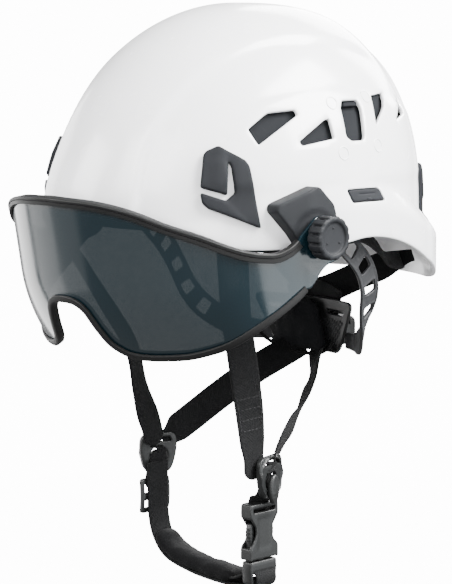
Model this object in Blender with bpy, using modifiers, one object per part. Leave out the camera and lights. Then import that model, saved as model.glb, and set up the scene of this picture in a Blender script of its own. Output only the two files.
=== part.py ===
"""Work-at-height safety helmet with a tinted flip-up visor, built as separate parts.

The wearer looks along -Y, +X is the wearer's left side and +Z is up. The origin lies inside the
head cavity, on the centre line, at the level of the shell's widest ring.
"""
import math

import bmesh
import bpy
from mathutils import Matrix, Vector

MM = 0.001
GAP = 0.35 * MM

# Shell: half width, reach to the front and to the rear of its centre, and height of the crown.
HALF_WIDTH = 112 * MM
FRONT_REACH = 151 * MM
REAR_REACH = 131 * MM
SHELL_CENTRE_Y = 11 * MM
CROWN = 145 * MM
CROWN_LEAN = -7 * MM
FRONT_FULLNESS = 1.76
REAR_FULLNESS = 2.74
SHELL_THICKNESS = 3 * MM
RISE_PER_DEGREE = 2.53 * MM
RIM_FRONT = 10 * MM
RIM_SIDE = -5 * MM
RIM_REAR = -46 * MM
FLARE = 12 * MM
LINER_INSET = 6 * MM
LINER_THICKNESS = 16 * MM

# Visor: elliptical in plan, narrowing downwards, turning about PIVOT.
PIVOT_Y = -34 * MM
PIVOT_Z = -1 * MM
LENS_HALF_WIDTH = 117.5 * MM
LENS_REACH = 126 * MM
LENS_THICKNESS = 2.2 * MM
LENS_TOP = 25.5 * MM
KNOB_RADIUS = 14.2 * MM
KNOB_DEPTH = 11.5 * MM
STUD_RADIUS = 2.9 * MM

# Head harness.
CRADLE_Y = 5 * MM
CRADLE_Z = -3 * MM
WEBBING_WIDTH = 20 * MM
WEBBING_THICKNESS = 1.6 * MM
NAPE_Z = -83 * MM
PINION_RADIUS = 6 * MM
PINION_TEETH = 12

# Chin closure.
BUCKLE_X = 50 * MM
BUCKLE_Y = -21 * MM
BUCKLE_TOP = -184 * MM
FEMALE_LENGTH = 38 * MM
BUCKLE_WIDTH = 26 * MM
BUCKLE_DEPTH = 10 * MM
DIVIDER = Vector((55, -17, -167)) * MM

FINISHES = {
    "shell_white": ((0.86, 0.86, 0.87), 0.3, 0.0),
    "clip_grey": ((0.055, 0.058, 0.063), 0.5, 0.0),
    "trim_charcoal": ((0.03, 0.03, 0.031), 0.45, 0.0),
    "cradle_grey": ((0.10, 0.103, 0.108), 0.5, 0.0),
    "buckle_black": ((0.022, 0.024, 0.025), 0.42, 0.0),
    "webbing_black": ((0.012, 0.012, 0.013), 0.9, 0.0),
    "pad_black": ((0.014, 0.014, 0.015), 0.85, 0.0),
    "foam_grey": ((0.07, 0.07, 0.075), 0.95, 0.0),
    "smoke_lens": ((0.05, 0.09, 0.11), 0.08, 0.0),
    "steel": ((0.6, 0.6, 0.6), 0.3, 1.0),
}


# ---------------------------------------------------------------- scene and materials
def clear_scene():
    for item in list(bpy.data.objects):
        bpy.data.objects.remove(item, do_unlink=True)


def new_collection(name):
    collection = bpy.data.collections.new(name)
    bpy.context.scene.collection.children.link(collection)
    return collection


def finish_material(finish, name):
    colour, roughness, metallic = FINISHES[finish]
    material = bpy.data.materials.new(name)
    material.use_nodes = True
    shader = material.node_tree.nodes["Principled BSDF"]
    shader.inputs["Base Color"].default_value = (*colour, 1.0)
    shader.inputs["Roughness"].default_value = roughness
    shader.inputs["Metallic"].default_value = metallic
    return material


def add_part(name, bm, finish, pivot=None):
    """Turn a bmesh, given in world space, into a named part with its origin at the pivot."""
    mesh = bpy.data.meshes.new(name)
    if pivot is not None:
        bmesh.ops.translate(bm, verts=bm.verts, vec=-Vector(pivot))
    bm.to_mesh(mesh)
    bm.free()
    mesh.shade_smooth()
    mesh.set_sharp_from_angle(angle=math.radians(35))
    part = bpy.data.objects.new(name, mesh)
    if pivot is not None:
        part.location = pivot
    mesh.materials.append(finish_material(finish, name))
    PARTS.objects.link(part)
    return part


def add_cutter(name, bm):
    mesh = bpy.data.meshes.new(name)
    bm.to_mesh(mesh)
    bm.free()
    cutter = bpy.data.objects.new(name, mesh)
    cutter.hide_render = True
    cutter.display_type = "WIRE"
    CUTTERS.objects.link(cutter)
    return cutter


def boolean(part, cutter, operation="DIFFERENCE"):
    modifier = part.modifiers.new(cutter.name, "BOOLEAN")
    modifier.operation = operation
    modifier.object = cutter


def thicken(part, thickness, offset=-1.0):
    modifier = part.modifiers.new("thickness", "SOLIDIFY")
    modifier.thickness = thickness
    modifier.offset = offset


# ---------------------------------------------------------------- shape helpers
def smooth(t):
    t = min(max(t, 0.0), 1.0)
    return t * t * (3 - 2 * t)


def mapped_grid(columns, rows, place, keep=None):
    """A flat grid whose points are moved by place(u, v), with u and v running from 0 to 1."""
    bm = bmesh.new()
    bmesh.ops.create_grid(bm, x_segments=columns, y_segments=rows, size=0.5)
    if keep is not None:
        dropped = [f for f in bm.faces
                   if not keep(f.calc_center_median().x + 0.5, f.calc_center_median().y + 0.5)]
        bmesh.ops.delete(bm, geom=dropped, context="FACES")
    for vert in bm.verts:
        vert.co = place(vert.co.x + 0.5, vert.co.y + 0.5)
    bmesh.ops.remove_doubles(bm, verts=bm.verts, dist=0.00001)
    return bm


def loft(sections):
    """Join closed sections with equal numbers of points into one body with a cap at each end."""
    bm = bmesh.new()
    rings = [[bm.verts.new(point) for point in section] for section in sections]
    for ring, following in zip(rings, rings[1:]):
        for i in range(len(ring)):
            j = (i + 1) % len(ring)
            bm.faces.new((ring[i], ring[j], following[j], following[i]))
    bm.faces.new(rings[0][::-1])
    bm.faces.new(rings[-1])
    bmesh.ops.recalc_face_normals(bm, faces=bm.faces)
    return bm


def smooth_path(points, steps):
    """A Catmull-Rom curve through the points, with a number of steps between neighbours."""
    ends = [points[0] * 2 - points[1]] + list(points) + [points[-1] * 2 - points[-2]]
    path = []
    for a, b, c, d in zip(ends, ends[1:], ends[2:], ends[3:]):
        for step in range(steps):
            t = step / steps
            path.append(0.5 * ((2 * b) + (c - a) * t + (2 * a - 5 * b + 4 * c - d) * t ** 2
                               + (3 * b - a - 3 * c + d) * t ** 3))
    return path + [points[-1]]


def ribbon(points, facing, width, thickness, steps=3):
    """A flat band along a smooth path; facing gives its outward side at each point, in turn."""
    path = smooth_path([Vector(p) * MM for p in points], steps)
    sides = smooth_path([Vector(f) for f in facing], steps)
    last = len(path) - 1
    sections = []
    for i, here in enumerate(path):
        along = (path[min(i + 1, last)] - path[max(i - 1, 0)]).normalized()
        out = (sides[i] - along * sides[i].dot(along)).normalized()
        across = along.cross(out) * width / 2
        lift = out * thickness
        sections.append([here - across, here + across, here + across + lift, here - across + lift])
    return loft(sections)


def box(size, centre, bevel=0.0):
    bm = bmesh.new()
    bmesh.ops.create_cube(bm, size=1.0)
    bmesh.ops.scale(bm, vec=size, verts=bm.verts)
    if bevel:
        bmesh.ops.bevel(bm, geom=bm.edges[:], offset=bevel, segments=1, affect="EDGES")
    bmesh.ops.translate(bm, vec=centre, verts=bm.verts)
    return bm


def cylinder(radius, depth, centre, axis, sides=24):
    bm = bmesh.new()
    turn = Vector((0, 0, 1)).rotation_difference(Vector(axis)).to_matrix().to_4x4()
    bmesh.ops.create_cone(bm, cap_ends=True, segments=sides, radius1=radius, radius2=radius,
                          depth=depth, matrix=Matrix.Translation(centre) @ turn)
    return bm


def plate(outlines, thickness, frame):
    """A flat plate from a 2D curve: the first outline is its edge and the others are holes."""
    curve = bpy.data.curves.new("outline", "CURVE")
    curve.dimensions = "2D"
    curve.fill_mode = "BOTH"
    curve.extrude = thickness / 2
    for outline in outlines:
        spline = curve.splines.new("POLY")
        spline.points.add(len(outline) - 1)
        for point, (x, y) in zip(spline.points, outline):
            point.co = (x, y, 0, 1)
        spline.use_cyclic_u = True
    holder = bpy.data.objects.new("outline", curve)
    CUTTERS.objects.link(holder)
    mesh = bpy.data.meshes.new_from_object(holder.evaluated_get(bpy.context.evaluated_depsgraph_get()))
    bpy.data.objects.remove(holder, do_unlink=True)
    bm = bmesh.new()
    bm.from_mesh(mesh)
    bpy.data.meshes.remove(mesh)
    bmesh.ops.remove_doubles(bm, verts=bm.verts, dist=0.00001)
    bmesh.ops.recalc_face_normals(bm, faces=bm.faces)
    bmesh.ops.transform(bm, matrix=frame, verts=bm.verts)
    if frame.determinant() < 0:
        bmesh.ops.reverse_faces(bm, faces=bm.faces)
    return bm


def axes_frame(origin, across, up, out):
    columns = Matrix((across, up, out)).transposed().to_4x4()
    return Matrix.Translation(origin) @ columns


def merge(*bodies):
    """Put separate bodies in one bmesh, for a cutter with many teeth."""
    joined = bmesh.new()
    for bm in bodies:
        mesh = bpy.data.meshes.new("piece")
        bm.to_mesh(mesh)
        bm.free()
        joined.from_mesh(mesh)
        bpy.data.meshes.remove(mesh)
    return joined


def ring_outline(radius, count, lobes=0, lobe_height=0.0):
    outline = []
    for i in range(count):
        angle = math.tau * i / count
        reach = radius + lobe_height * math.cos(lobes * angle)
        outline.append((reach * math.cos(angle), reach * math.sin(angle)))
    return outline


# ---------------------------------------------------------------- shell surface
def fullness(turn):
    middle = (FRONT_FULLNESS + REAR_FULLNESS) / 2
    return middle - (REAR_FULLNESS - FRONT_FULLNESS) / 2 * math.cos(math.radians(turn))


def rim_height(turn):
    turn = abs((turn + 180) % 360 - 180)
    front = (RIM_FRONT - RIM_SIDE) * smooth((turn - 8) / 55)
    rear = (RIM_SIDE - RIM_REAR) * smooth((turn - 92) / 62)
    return RIM_FRONT - front - rear


def flare_out(turn, rise):
    """How far the rear brim stands out below its crease."""
    turn = abs((turn + 180) % 360 - 180)
    crease = (30 - 28 * smooth((turn - 92) / 55)) * MM
    return FLARE * smooth((turn - 65) / 85) * smooth((crease - rise) / (18 * MM))


def shell_at(turn, rise, inset=0.0, flared=True):
    """Point of the shell at a turn in degrees from the front towards +X, at a height."""
    angle = math.radians(turn)
    power = fullness(turn)
    level = min(max(rise / (CROWN - inset), 0.0), 1.0)
    spread = (1 - level ** power) ** (1 / power)
    reach = FRONT_REACH if math.cos(angle) > 0 else REAR_REACH
    flare = flare_out(turn, rise) if flared else 0.0
    x = math.sin(angle) * ((HALF_WIDTH - inset) * spread + flare)
    y = -math.cos(angle) * ((reach - inset) * spread + flare)
    return Vector((x, y + SHELL_CENTRE_Y + CROWN_LEAN * level ** 2, rise))


def rise_at(turn, climb, inset=0.0):
    """Height reached at a climb in degrees up the dome, counted from its widest level."""
    if climb <= 0:
        return climb * RISE_PER_DEGREE
    power = fullness(turn)
    up, out = math.sin(math.radians(climb)), abs(math.cos(math.radians(climb)))
    return (CROWN - inset) * up * (up ** power + out ** power) ** (-1 / power)


def dome(columns, rows, inset, rim, flared=True):
    """The whole dome as an open sheet, from the rim heights given by rim(turn) to the crown."""
    def place(u, v):
        turn = 360 * u
        low = rim(turn) / RISE_PER_DEGREE
        climb = low + (90 - low) * v
        return shell_at(turn, rise_at(turn, min(climb, 90), inset), inset, flared)
    return mapped_grid(columns, rows, place)


def patch(turns, rises, inset, columns, rows, flared=True):
    """Part of the dome between two turns and two heights, as an open sheet."""
    def place(u, v):
        turn = turns[0] + (turns[1] - turns[0]) * u
        return shell_at(turn, rises[0] + (rises[1] - rises[0]) * v, inset, flared)
    return mapped_grid(columns, rows, place)


def shell_frame(turn, rise):
    """Frame on the shell: X along it counter-clockwise, Y up it, Z straight out of it."""
    here = shell_at(turn, rise)
    around = (shell_at(turn + 1, rise) - shell_at(turn - 1, rise)).normalized()
    up = (shell_at(turn, rise + 2 * MM) - shell_at(turn, rise - 2 * MM)).normalized()
    out = around.cross(up).normalized()
    return axes_frame(here, around, out.cross(around), out)


def outline_prism(outline, turn, rise, side, depth):
    points = [(side * x * MM, y * MM) for x, y in outline]
    return plate([points], depth, shell_frame(side * turn, rise))


# Outlines on the shell, in millimetres: rearwards and up from the point they are placed at.
VENTS = (
    (64.8, 71, [(-18, -4), (-3.5, 6.5), (16, 8.5), (17.5, 5), (-12.5, -15)]),
    (78.4, 64, [(-15.5, -5.5), (6.5, 8), (10.5, 9), (12, -4.5), (-14, -8.5)]),
    (92.2, 70, [(-9, 9), (-6, 14.5), (8, 14.5), (10, 8.5), (7, -10), (5, -13), (-6, -13), (-10, -10)]),
    (108.5, 79, [(-7, 7.5), (13, 9.5), (5, -1), (-12, -13)]),
    (124.3, 75, [(10, 9), (8, -3), (-15, -6.5)]),
)
SLOT = (92, 22.5, [(-17.5, 4.5), (13.5, 4.5), (17, -4.5), (-14, -4.5)])
FRONT_CLIP = (48.7, 36.4, [(-11, 15.5), (-9, 18), (-1.7, 21), (15, 11.5), (17.5, 8), (24.5, -31),
                           (-9.5, -18.5), (-13, -15), (-13.8, -8)])
FRONT_CLIP_GROOVE = [(-18, -4.3), (3, -10.4), (4.2, 10.6), (6, 8), (8, -9), (2, -13.8), (-18, -7)]
REAR_CLIP = (150, 13, [(-8, 22), (8, 22), (11, 17), (11, -14), (5, -22), (-5, -22), (-11, -14), (-11, 17)])
REAR_CLIP_GROOVE = [(-7, -5), (7, -5), (7, -8), (-7, -8)]


def build_shell():
    shell = add_part("outer_shell", dome(48, 18, 0.0, rim_height), "shell_white")
    thicken(shell, SHELL_THICKNESS)
    cuts = []
    for side in (1, -1):
        cuts += [outline_prism(outline, turn, rise * MM, side, 24 * MM) for turn, rise, outline in VENTS]
        turn, rise, outline = SLOT
        cuts.append(outline_prism(outline, turn, rise * MM, side, 16 * MM))
    boolean(shell, add_cutter("shell_openings", merge(*cuts)))

    liner = add_part("inner_liner", dome(40, 10, LINER_INSET, liner_rim, flared=False), "foam_grey")
    thicken(liner, LINER_THICKNESS)
    crown = dome(20, 4, LINER_INSET + LINER_THICKNESS + 1.5 * MM, lambda turn: 108 * MM, flared=False)
    thicken(add_part("crown_pad", crown, "pad_black"), 5 * MM)

    for word, side in (("left", 1), ("right", -1)):
        screen = patch((52 * side, 134 * side), (50 * MM, 93 * MM), 4.2 * MM, 12, 4, flared=False)
        if side < 0:
            bmesh.ops.reverse_faces(screen, faces=screen.faces)
        thicken(add_part(f"vent_screen_{word}", screen, "clip_grey"), 1.1 * MM)


def liner_rim(turn):
    turn = abs((turn + 180) % 360 - 180)
    return (18 - 5 * smooth(turn / 80) - 14 * smooth((turn - 100) / 60)) * MM


def surface_plate(name, placing, side, low, high, grooves, finish):
    """A plate bent to the shell, between two lifts above it, cut to an outline."""
    turn, rise, outline = placing
    sheet = patch((side * (turn - 26), side * (turn + 26)), ((rise - 42) * MM, (rise + 32) * MM),
                  -low, 14, 9)
    if side < 0:
        bmesh.ops.reverse_faces(sheet, faces=sheet.faces)
    part = add_part(name, sheet, finish)
    thicken(part, high - low, 1.0)
    boolean(part, add_cutter(name + "_outline", outline_prism(outline, turn, rise * MM, side, 60 * MM)),
            "INTERSECT")
    for groove in grooves:
        boolean(part, add_cutter(name + "_groove", outline_prism(groove, turn, rise * MM, side, 60 * MM)))


def build_shell_fittings():
    for word, side in (("left", 1), ("right", -1)):
        surface_plate(f"front_lamp_clip_{word}", FRONT_CLIP, side, 0.7 * MM, 3.9 * MM,
                      [FRONT_CLIP_GROOVE], "clip_grey")
        surface_plate(f"rear_lamp_clip_{word}", REAR_CLIP, side, 1.8 * MM, 4.6 * MM,
                      [REAR_CLIP_GROOVE], "clip_grey")
        turn, rise, outline = SLOT
        plug = [(x * 0.97, y * 0.9) for x, y in outline]
        frame = shell_frame(side * turn, rise * MM)
        points = [(side * x * MM, y * MM) for x, y in plug]
        frame = frame @ Matrix.Translation((0, 0, -1.2 * MM))
        add_part(f"slot_plug_{word}", plate([points], 3.4 * MM, frame), "clip_grey")


# ---------------------------------------------------------------- visor
def lens_at(azimuth, rise):
    """Point of the lens's outer face; azimuth in degrees from the front towards +X."""
    angle = math.radians(azimuth)
    drop = LENS_TOP - rise
    flat = smooth((abs(azimuth) - 50) / 30)
    tuck = 0.006 * max(0.0, drop / MM - 55) ** 2 * MM
    width = LENS_HALF_WIDTH - (0.06 * drop + 0.5 * tuck) * (1 - flat)
    reach = LENS_REACH - (0.19 * drop + tuck) * (1 - flat)
    return Vector((width * math.sin(angle), PIVOT_Y - reach * math.cos(angle), rise))


LENS_AZIMUTHS = [0, 3.7, 6.8, 9.2, 10.6, 12.2, 14.1, 17.1, 20, 24.8, 29, 33.7, 37.5, 41.3, 45, 48.8, 52.7,
                 56.6, 61, 65.5, 69.5, 73, 76, 79, 81.5, 84.5]
# Azimuth and height of the lens's lower and upper edges.
LOW_EDGE = [(0, -41.5), (3.7, -42), (6.8, -44.4), (9.2, -49.1), (10.6, -55.6), (12.2, -62.1), (14.1, -68.7),
            (17.1, -72.9), (20, -75.5), (24.8, -76.9), (29, -77), (33.7, -76.6), (41.3, -75.5), (48.8, -72.6),
            (56.6, -68.3), (61, -64.6), (65.5, -59.6), (69.5, -54.6), (73, -50), (76, -46), (79, -41.8),
            (81.5, -38.1), (84.5, -33.5)]
HIGH_EDGE = [(0, 23), (8.2, 22.5), (14, 22), (20.3, 20.6), (25.5, 18.6), (30.7, 15.7), (40.5, 8.1),
             (50.1, 1.5), (59.1, -5.5), (65, -9), (70.5, -10.5), (84.5, -10.5)]
# Rows of Y, lowest and highest point of the ear that the knob clamps.
EAR = [(-44.4, -33.3, 6.2), (-41.3, -32.6, 8.8), (-38.4, -29.3, 11.2), (-34.3, -25, 12), (-31, -22, 12),
       (-27.4, -19.6, 11.6), (-23, -18.3, 10.8), (-19, -16.9, 9), (-15.5, -14, 6), (-13.2, -8, 2)]
EAR_RAMP = [(-76, -10.5), (-71, -9.8), (-66, -7.6), (-60, -4.8), (-55, -2.6), (-52, 0.8), (-44.4, 6.2)]
LENS_ROWS = 5
TOP_TRIM_END = 81.5
LOW_TRIM_END = 84.5


def table(rows, x):
    """Straight-line reading of a table of pairs."""
    for (x0, z0), (x1, z1) in zip(rows, rows[1:]):
        if x <= x1:
            return z0 + (z1 - z0) * max(0.0, (x - x0) / (x1 - x0))
    return rows[-1][1]


def lens_top(azimuth):
    y = (PIVOT_Y - LENS_REACH * math.cos(math.radians(azimuth))) / MM
    return (table(EAR_RAMP, y) if y > EAR_RAMP[0][0] else table(HIGH_EDGE, abs(azimuth))) * MM


def lens_bottom(azimuth):
    return table(LOW_EDGE, abs(azimuth)) * MM


def lens_columns():
    """Points of each column of the lens from its lower edge up, from the right ear to the left one."""
    steps = [i / LENS_ROWS for i in range(LENS_ROWS + 1)]
    half = []
    for azimuth in LENS_AZIMUTHS:
        low, high = lens_bottom(azimuth), lens_top(azimuth)
        half.append([lens_at(azimuth, low + (high - low) * v) for v in steps])
    for y, low, high in EAR:
        half.append([Vector((LENS_HALF_WIDTH, y * MM, (low + (high - low) * v) * MM)) for v in steps])
    mirror = Vector((-1, 1, 1))
    return [[point * mirror for point in column] for column in half[:0:-1]] + half


def trim_path(top):
    """Points of the lens's edge that carry a trim, with the outward normal at each."""
    limit = TOP_TRIM_END if top else LOW_TRIM_END
    edge = lens_top if top else lens_bottom
    azimuths = [a for a in LENS_AZIMUTHS if a <= limit]
    path = []
    for azimuth in [-a for a in azimuths[:0:-1]] + azimuths:
        here = lens_at(azimuth, edge(azimuth))
        around = lens_at(azimuth + 0.5, here.z) - lens_at(azimuth - 0.5, here.z)
        step = (lens_top(azimuth) - lens_bottom(azimuth)) / LENS_ROWS * (-1 if top else 1)
        upwards = (lens_at(azimuth, here.z + step) - here) * (-1 if top else 1)
        path.append((here, around.cross(upwards).normalized(), abs(azimuth)))
    return path


def trim(top):
    """A U-shaped channel that grips the edge of the lens."""
    path = trim_path(top)
    last = len(path) - 1
    sections = []
    for i, (here, out, azimuth) in enumerate(path):
        along = (path[min(i + 1, last)][0] - path[max(i - 1, 0)][0]).normalized()
        away = out.cross(along).normalized() * (1 if top else -1)
        thinned = 1.4 * smooth((azimuth - 62) / 14) if top else 0.0
        outer, inner = 2.2 * MM, -LENS_THICKNESS - (2.2 - thinned) * MM
        crest = (1.6 if top else 2) * MM
        skirt = (-3.4 - 0.8 * smooth((azimuth - 25) / 40) if top else -3) * MM
        slack = GAP if top else GAP + 0.35 * MM * smooth((6 - abs(azimuth - 11.5)) / 3)
        shape = [(outer, skirt), (outer, crest), (inner, crest), (inner, skirt),
                 (-LENS_THICKNESS - slack, skirt), (-LENS_THICKNESS - slack, slack), (slack, slack),
                 (slack, skirt)]
        sections.append([here + out * a + away * h for a, h in shape])
    return loft(sections)


def build_visor():
    columns = lens_columns()
    pivot = Vector((0, PIVOT_Y, PIVOT_Z))

    def place(u, v):
        return columns[round(u * (len(columns) - 1))][round(v * LENS_ROWS)]
    lens = add_part("visor_lens", mapped_grid(len(columns) - 1, LENS_ROWS, place), "smoke_lens", pivot)
    thicken(lens, LENS_THICKNESS)
    add_part("visor_upper_trim", trim(True), "trim_charcoal", pivot)
    add_part("visor_lower_trim", trim(False), "trim_charcoal", pivot)

    stud_holes = []
    clearance = dome(60, 24, -0.7 * MM, lambda turn: -60 * MM, flared=True)
    bmesh.ops.holes_fill(clearance, edges=clearance.edges[:])
    clearance = add_cutter("shell_clearance", clearance)
    for word, side in (("left", 1), ("right", -1)):
        axis = Vector((side, 0, 0))
        centre = Vector((0, PIVOT_Y, PIVOT_Z))
        lens_face = LENS_HALF_WIDTH
        back = lens_face - LENS_THICKNESS - 0.9 * MM
        hole = cylinder(STUD_RADIUS + GAP, 30 * MM, centre + axis * 114 * MM, axis)
        hole = add_cutter(f"stud_hole_{word}", hole)
        boolean(lens, hole)

        outline = [(-66, 19), (-63, 20.5), (-35, 30), (-32, 29.5), (-18, 18.5), (-15.5, 11), (-20, -6),
                   (-28, -13), (-36, -14.5), (-45, -6), (-49, 0), (-66, 16)]
        frame = axes_frame(axis * (back - 11 * MM), Vector((0, 1, 0)), Vector((0, 0, 1)), Vector((1, 0, 0)))
        block = plate([[(y * MM, z * MM) for y, z in outline]], 22 * MM, frame)
        slope = Vector((side, -0.34, 0)).normalized()
        cut = bmesh.ops.bisect_plane(block, geom=block.verts[:] + block.edges[:] + block.faces[:],
                                     plane_co=Vector((side * 105.5, -65, 0)) * MM, plane_no=slope,
                                     clear_outer=True)
        rim = [e for e in cut["geom_cut"] if isinstance(e, bmesh.types.BMEdge)]
        bmesh.ops.contextual_create(block, geom=rim)
        bmesh.ops.recalc_face_normals(block, faces=block.faces)
        adapter = add_part(f"visor_adapter_{word}", block, "clip_grey")
        boolean(adapter, clearance)
        boolean(adapter, hole)

        knob_back = lens_face + 1.4 * MM
        outline = ring_outline(KNOB_RADIUS - 0.5 * MM, 56, 14, 0.6 * MM)
        frame = axes_frame(centre + axis * (knob_back + KNOB_DEPTH / 2), Vector((0, 1, 0)),
                           Vector((0, 0, 1)), Vector((1, 0, 0)))
        knob = add_part(f"visor_knob_{word}", plate([outline], KNOB_DEPTH, frame), "clip_grey",
                        centre + axis * knob_back)
        boolean(knob, hole)
        stud_start = lens_face - 9 * MM
        stud = cylinder(STUD_RADIUS, 18 * MM, centre + axis * (stud_start + 9 * MM), axis)
        add_part(f"pivot_stud_{word}", stud, "steel")
        washer_frame = axes_frame(centre + axis * (lens_face + 0.7 * MM), Vector((0, 1, 0)),
                                  Vector((0, 0, 1)), Vector((1, 0, 0)))
        rings = [ring_outline(9 * MM, 24), ring_outline(STUD_RADIUS + GAP, 24)]
        washer = plate(rings, 0.7 * MM, washer_frame)
        add_part(f"pivot_washer_{word}", washer, "steel")


# ---------------------------------------------------------------- headband and nape
def mirrored(points, side):
    return [(side * x, y, z) for x, y, z in points]


def build_headband():
    def band(inset, thickness, height, reach_degrees):
        points, facing = [], []
        for i in range(13):
            angle = math.radians(-reach_degrees + 2 * reach_degrees * i / 12)
            drop = 15 * smooth((abs(math.degrees(angle)) - 55) / 40)
            points.append(((82 - inset) * math.sin(angle), -(103 - inset) * math.cos(angle), 13 - drop))
            facing.append((math.sin(angle) / 82, -math.cos(angle) / 103, 0))
        return ribbon(points, facing, height * MM, thickness * MM, steps=2)
    add_part("brow_band", band(0, 1.6, 24, 96), "cradle_grey")
    add_part("brow_pad", band(5.4, 5, 28, 62), "pad_black")


ARM_POINTS = [(95, -3, 3), (96, 9, -7), (97.2, 28, -25), (94.6, 37.7, -42), (88, 43, -59), (78, 51, -73),
              (61, 64.5, -85), (46, 77, -88), (34, 81, -88)]
ARM_WIDTH = 17 * MM
ARM_HOLES = (0.2, 0.32, 0.44, 0.56, 0.7)


def build_arm(word, side):
    """A perforated cradle arm, hung at the temple and ending behind the nape plate."""
    path = smooth_path([Vector(p) * MM for p in mirrored(ARM_POINTS, side)], 5)
    last = len(path) - 1
    lines = (0.0, 0.26, 0.74, 1.0)

    def keep(u, v):
        inside = 0.34 < v < 0.66
        return not (inside and any(abs(u - hole) < 0.026 for hole in ARM_HOLES))

    def place(u, v):
        i = round(u * last)
        here = path[i]
        along = (path[min(i + 1, last)] - path[max(i - 1, 0)]).normalized()
        out = Vector((here.x / 82 ** 2, here.y / 92 ** 2, 0)).normalized()
        out = (out - along * out.dot(along)).normalized()
        across = along.cross(out) * side
        width = ARM_WIDTH * (1 - 0.3 * smooth((u - 0.75) / 0.25))
        return here + across * width * (lines[round(v * 3)] - 0.5)
    sheet = mapped_grid(last, 3, place, keep)
    bmesh.ops.recalc_face_normals(sheet, faces=sheet.faces)
    outward = sheet.faces[:][0]
    if outward.normal.x * side < 0:
        bmesh.ops.reverse_faces(sheet, faces=sheet.faces)
    pin = Vector((0, CRADLE_Y, CRADLE_Z))
    arm = add_part(f"cradle_arm_{word}", sheet, "cradle_grey", pin)
    thicken(arm, 1.9 * MM)
    axis = Vector((side, 0, 0))
    hole = add_cutter(f"arm_hole_{word}", cylinder(3.3 * MM, 24 * MM, pin + axis * 95 * MM, axis, 16))
    boolean(arm, hole)
    add_part(f"cradle_pin_{word}", cylinder(2.9 * MM, 14.4 * MM, pin + axis * 91.6 * MM, axis, 16), "steel")
    bracket = box((9 * MM, 20 * MM, 13 * MM), pin + axis * 103.5 * MM + Vector((0, 0, 0.5 * MM)), 1 * MM)
    add_part(f"temple_bracket_{word}", bracket, "clip_grey")


def nape_y(x):
    return (80 - 10 * (x / 46) ** 2) * MM


def build_nape():
    def plate_point(u, v):
        x = -46 + 92 * u
        return Vector((x * MM, nape_y(x), (-98 + 38 * v) * MM))

    def keep(u, v):
        return not (0.7 < v < 0.9 and (0.08 < u < 0.19 or 0.81 < u < 0.92))
    sheet = mapped_grid(16, 7, plate_point, keep)
    bmesh.ops.reverse_faces(sheet, faces=sheet.faces)
    thicken(add_part("nape_plate", sheet, "buckle_black"), 2.4 * MM, 1.0)

    def pad_point(u, v):
        x = -34 + 68 * u
        return Vector((x * MM, nape_y(x) - 0.5 * MM, (-97 + 36 * v) * MM))
    pad = mapped_grid(12, 5, pad_point)
    thicken(add_part("nape_pad", pad, "pad_black"), 8 * MM, 1.0)

    housing = add_part("nape_housing", box((56 * MM, 14 * MM, 20 * MM), (0, 90.3 * MM, NAPE_Z), 1 * MM),
                       "buckle_black")
    cavity = box((70 * MM, 8.6 * MM, 15.4 * MM), (0, 90.3 * MM, NAPE_Z))
    boolean(housing, add_cutter("housing_cavity", cavity))
    shaft_hole = cylinder(2.9 * MM, 12 * MM, Vector((0, 97 * MM, NAPE_Z)), (0, 1, 0), 16)
    boolean(housing, add_cutter("shaft_hole", shaft_hole))

    centre = Vector((0, 0, NAPE_Z))
    gear = []
    for tooth in range(PINION_TEETH):
        for step, reach in ((-0.28, 5.1), (-0.11, 6.6), (0.11, 6.6), (0.28, 5.1)):
            angle = math.tau * (tooth + step) / PINION_TEETH
            gear.append((reach * MM * math.sin(angle), reach * MM * math.cos(angle)))
    frame = axes_frame(centre + Vector((0, 88.6 * MM, 0)), Vector((1, 0, 0)), Vector((0, 0, 1)),
                       Vector((0, -1, 0)))
    pinion = add_part("nape_pinion", plate([gear], 4.4 * MM, frame), "steel",
                      centre + Vector((0, 88 * MM, 0)))
    shaft = cylinder(2.5 * MM, 8.9 * MM, centre + Vector((0, 94.2 * MM, 0)), (0, 1, 0), 16)
    boolean(pinion, add_cutter("pinion_shaft", shaft), "UNION")

    frame = axes_frame(centre + Vector((0, 103 * MM, 0)), Vector((1, 0, 0)), Vector((0, 0, 1)),
                       Vector((0, -1, 0)))
    dial = plate([ring_outline(13.5 * MM, 48, 12, 0.6 * MM)], 8 * MM, frame)
    add_part("nape_dial", dial, "buckle_black", centre + Vector((0, 99 * MM, 0)))

    pitch = math.tau * PINION_RADIUS / PINION_TEETH
    for word, side in (("left", 1), ("right", -1)):
        outline = [(26 * MM, 7.35 * MM), (-14 * MM, 7.35 * MM)]
        for tooth in range(-4, 8):
            middle = (tooth + 0.5) * pitch
            outline += [(middle - 0.72 * MM, 6.75 * MM), (middle - 0.32 * MM, 5.35 * MM),
                        (middle + 0.32 * MM, 5.35 * MM), (middle + 0.72 * MM, 6.75 * MM)]
        outline = [(side * x, side * z) for x, z in outline]
        frame = axes_frame(centre + Vector((0, 88.6 * MM, 0)), Vector((1, 0, 0)), Vector((0, 0, 1)),
                           Vector((0, -1, 0)))
        add_part(f"rack_{word}", plate([outline], 3.6 * MM, frame), "cradle_grey")


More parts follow.
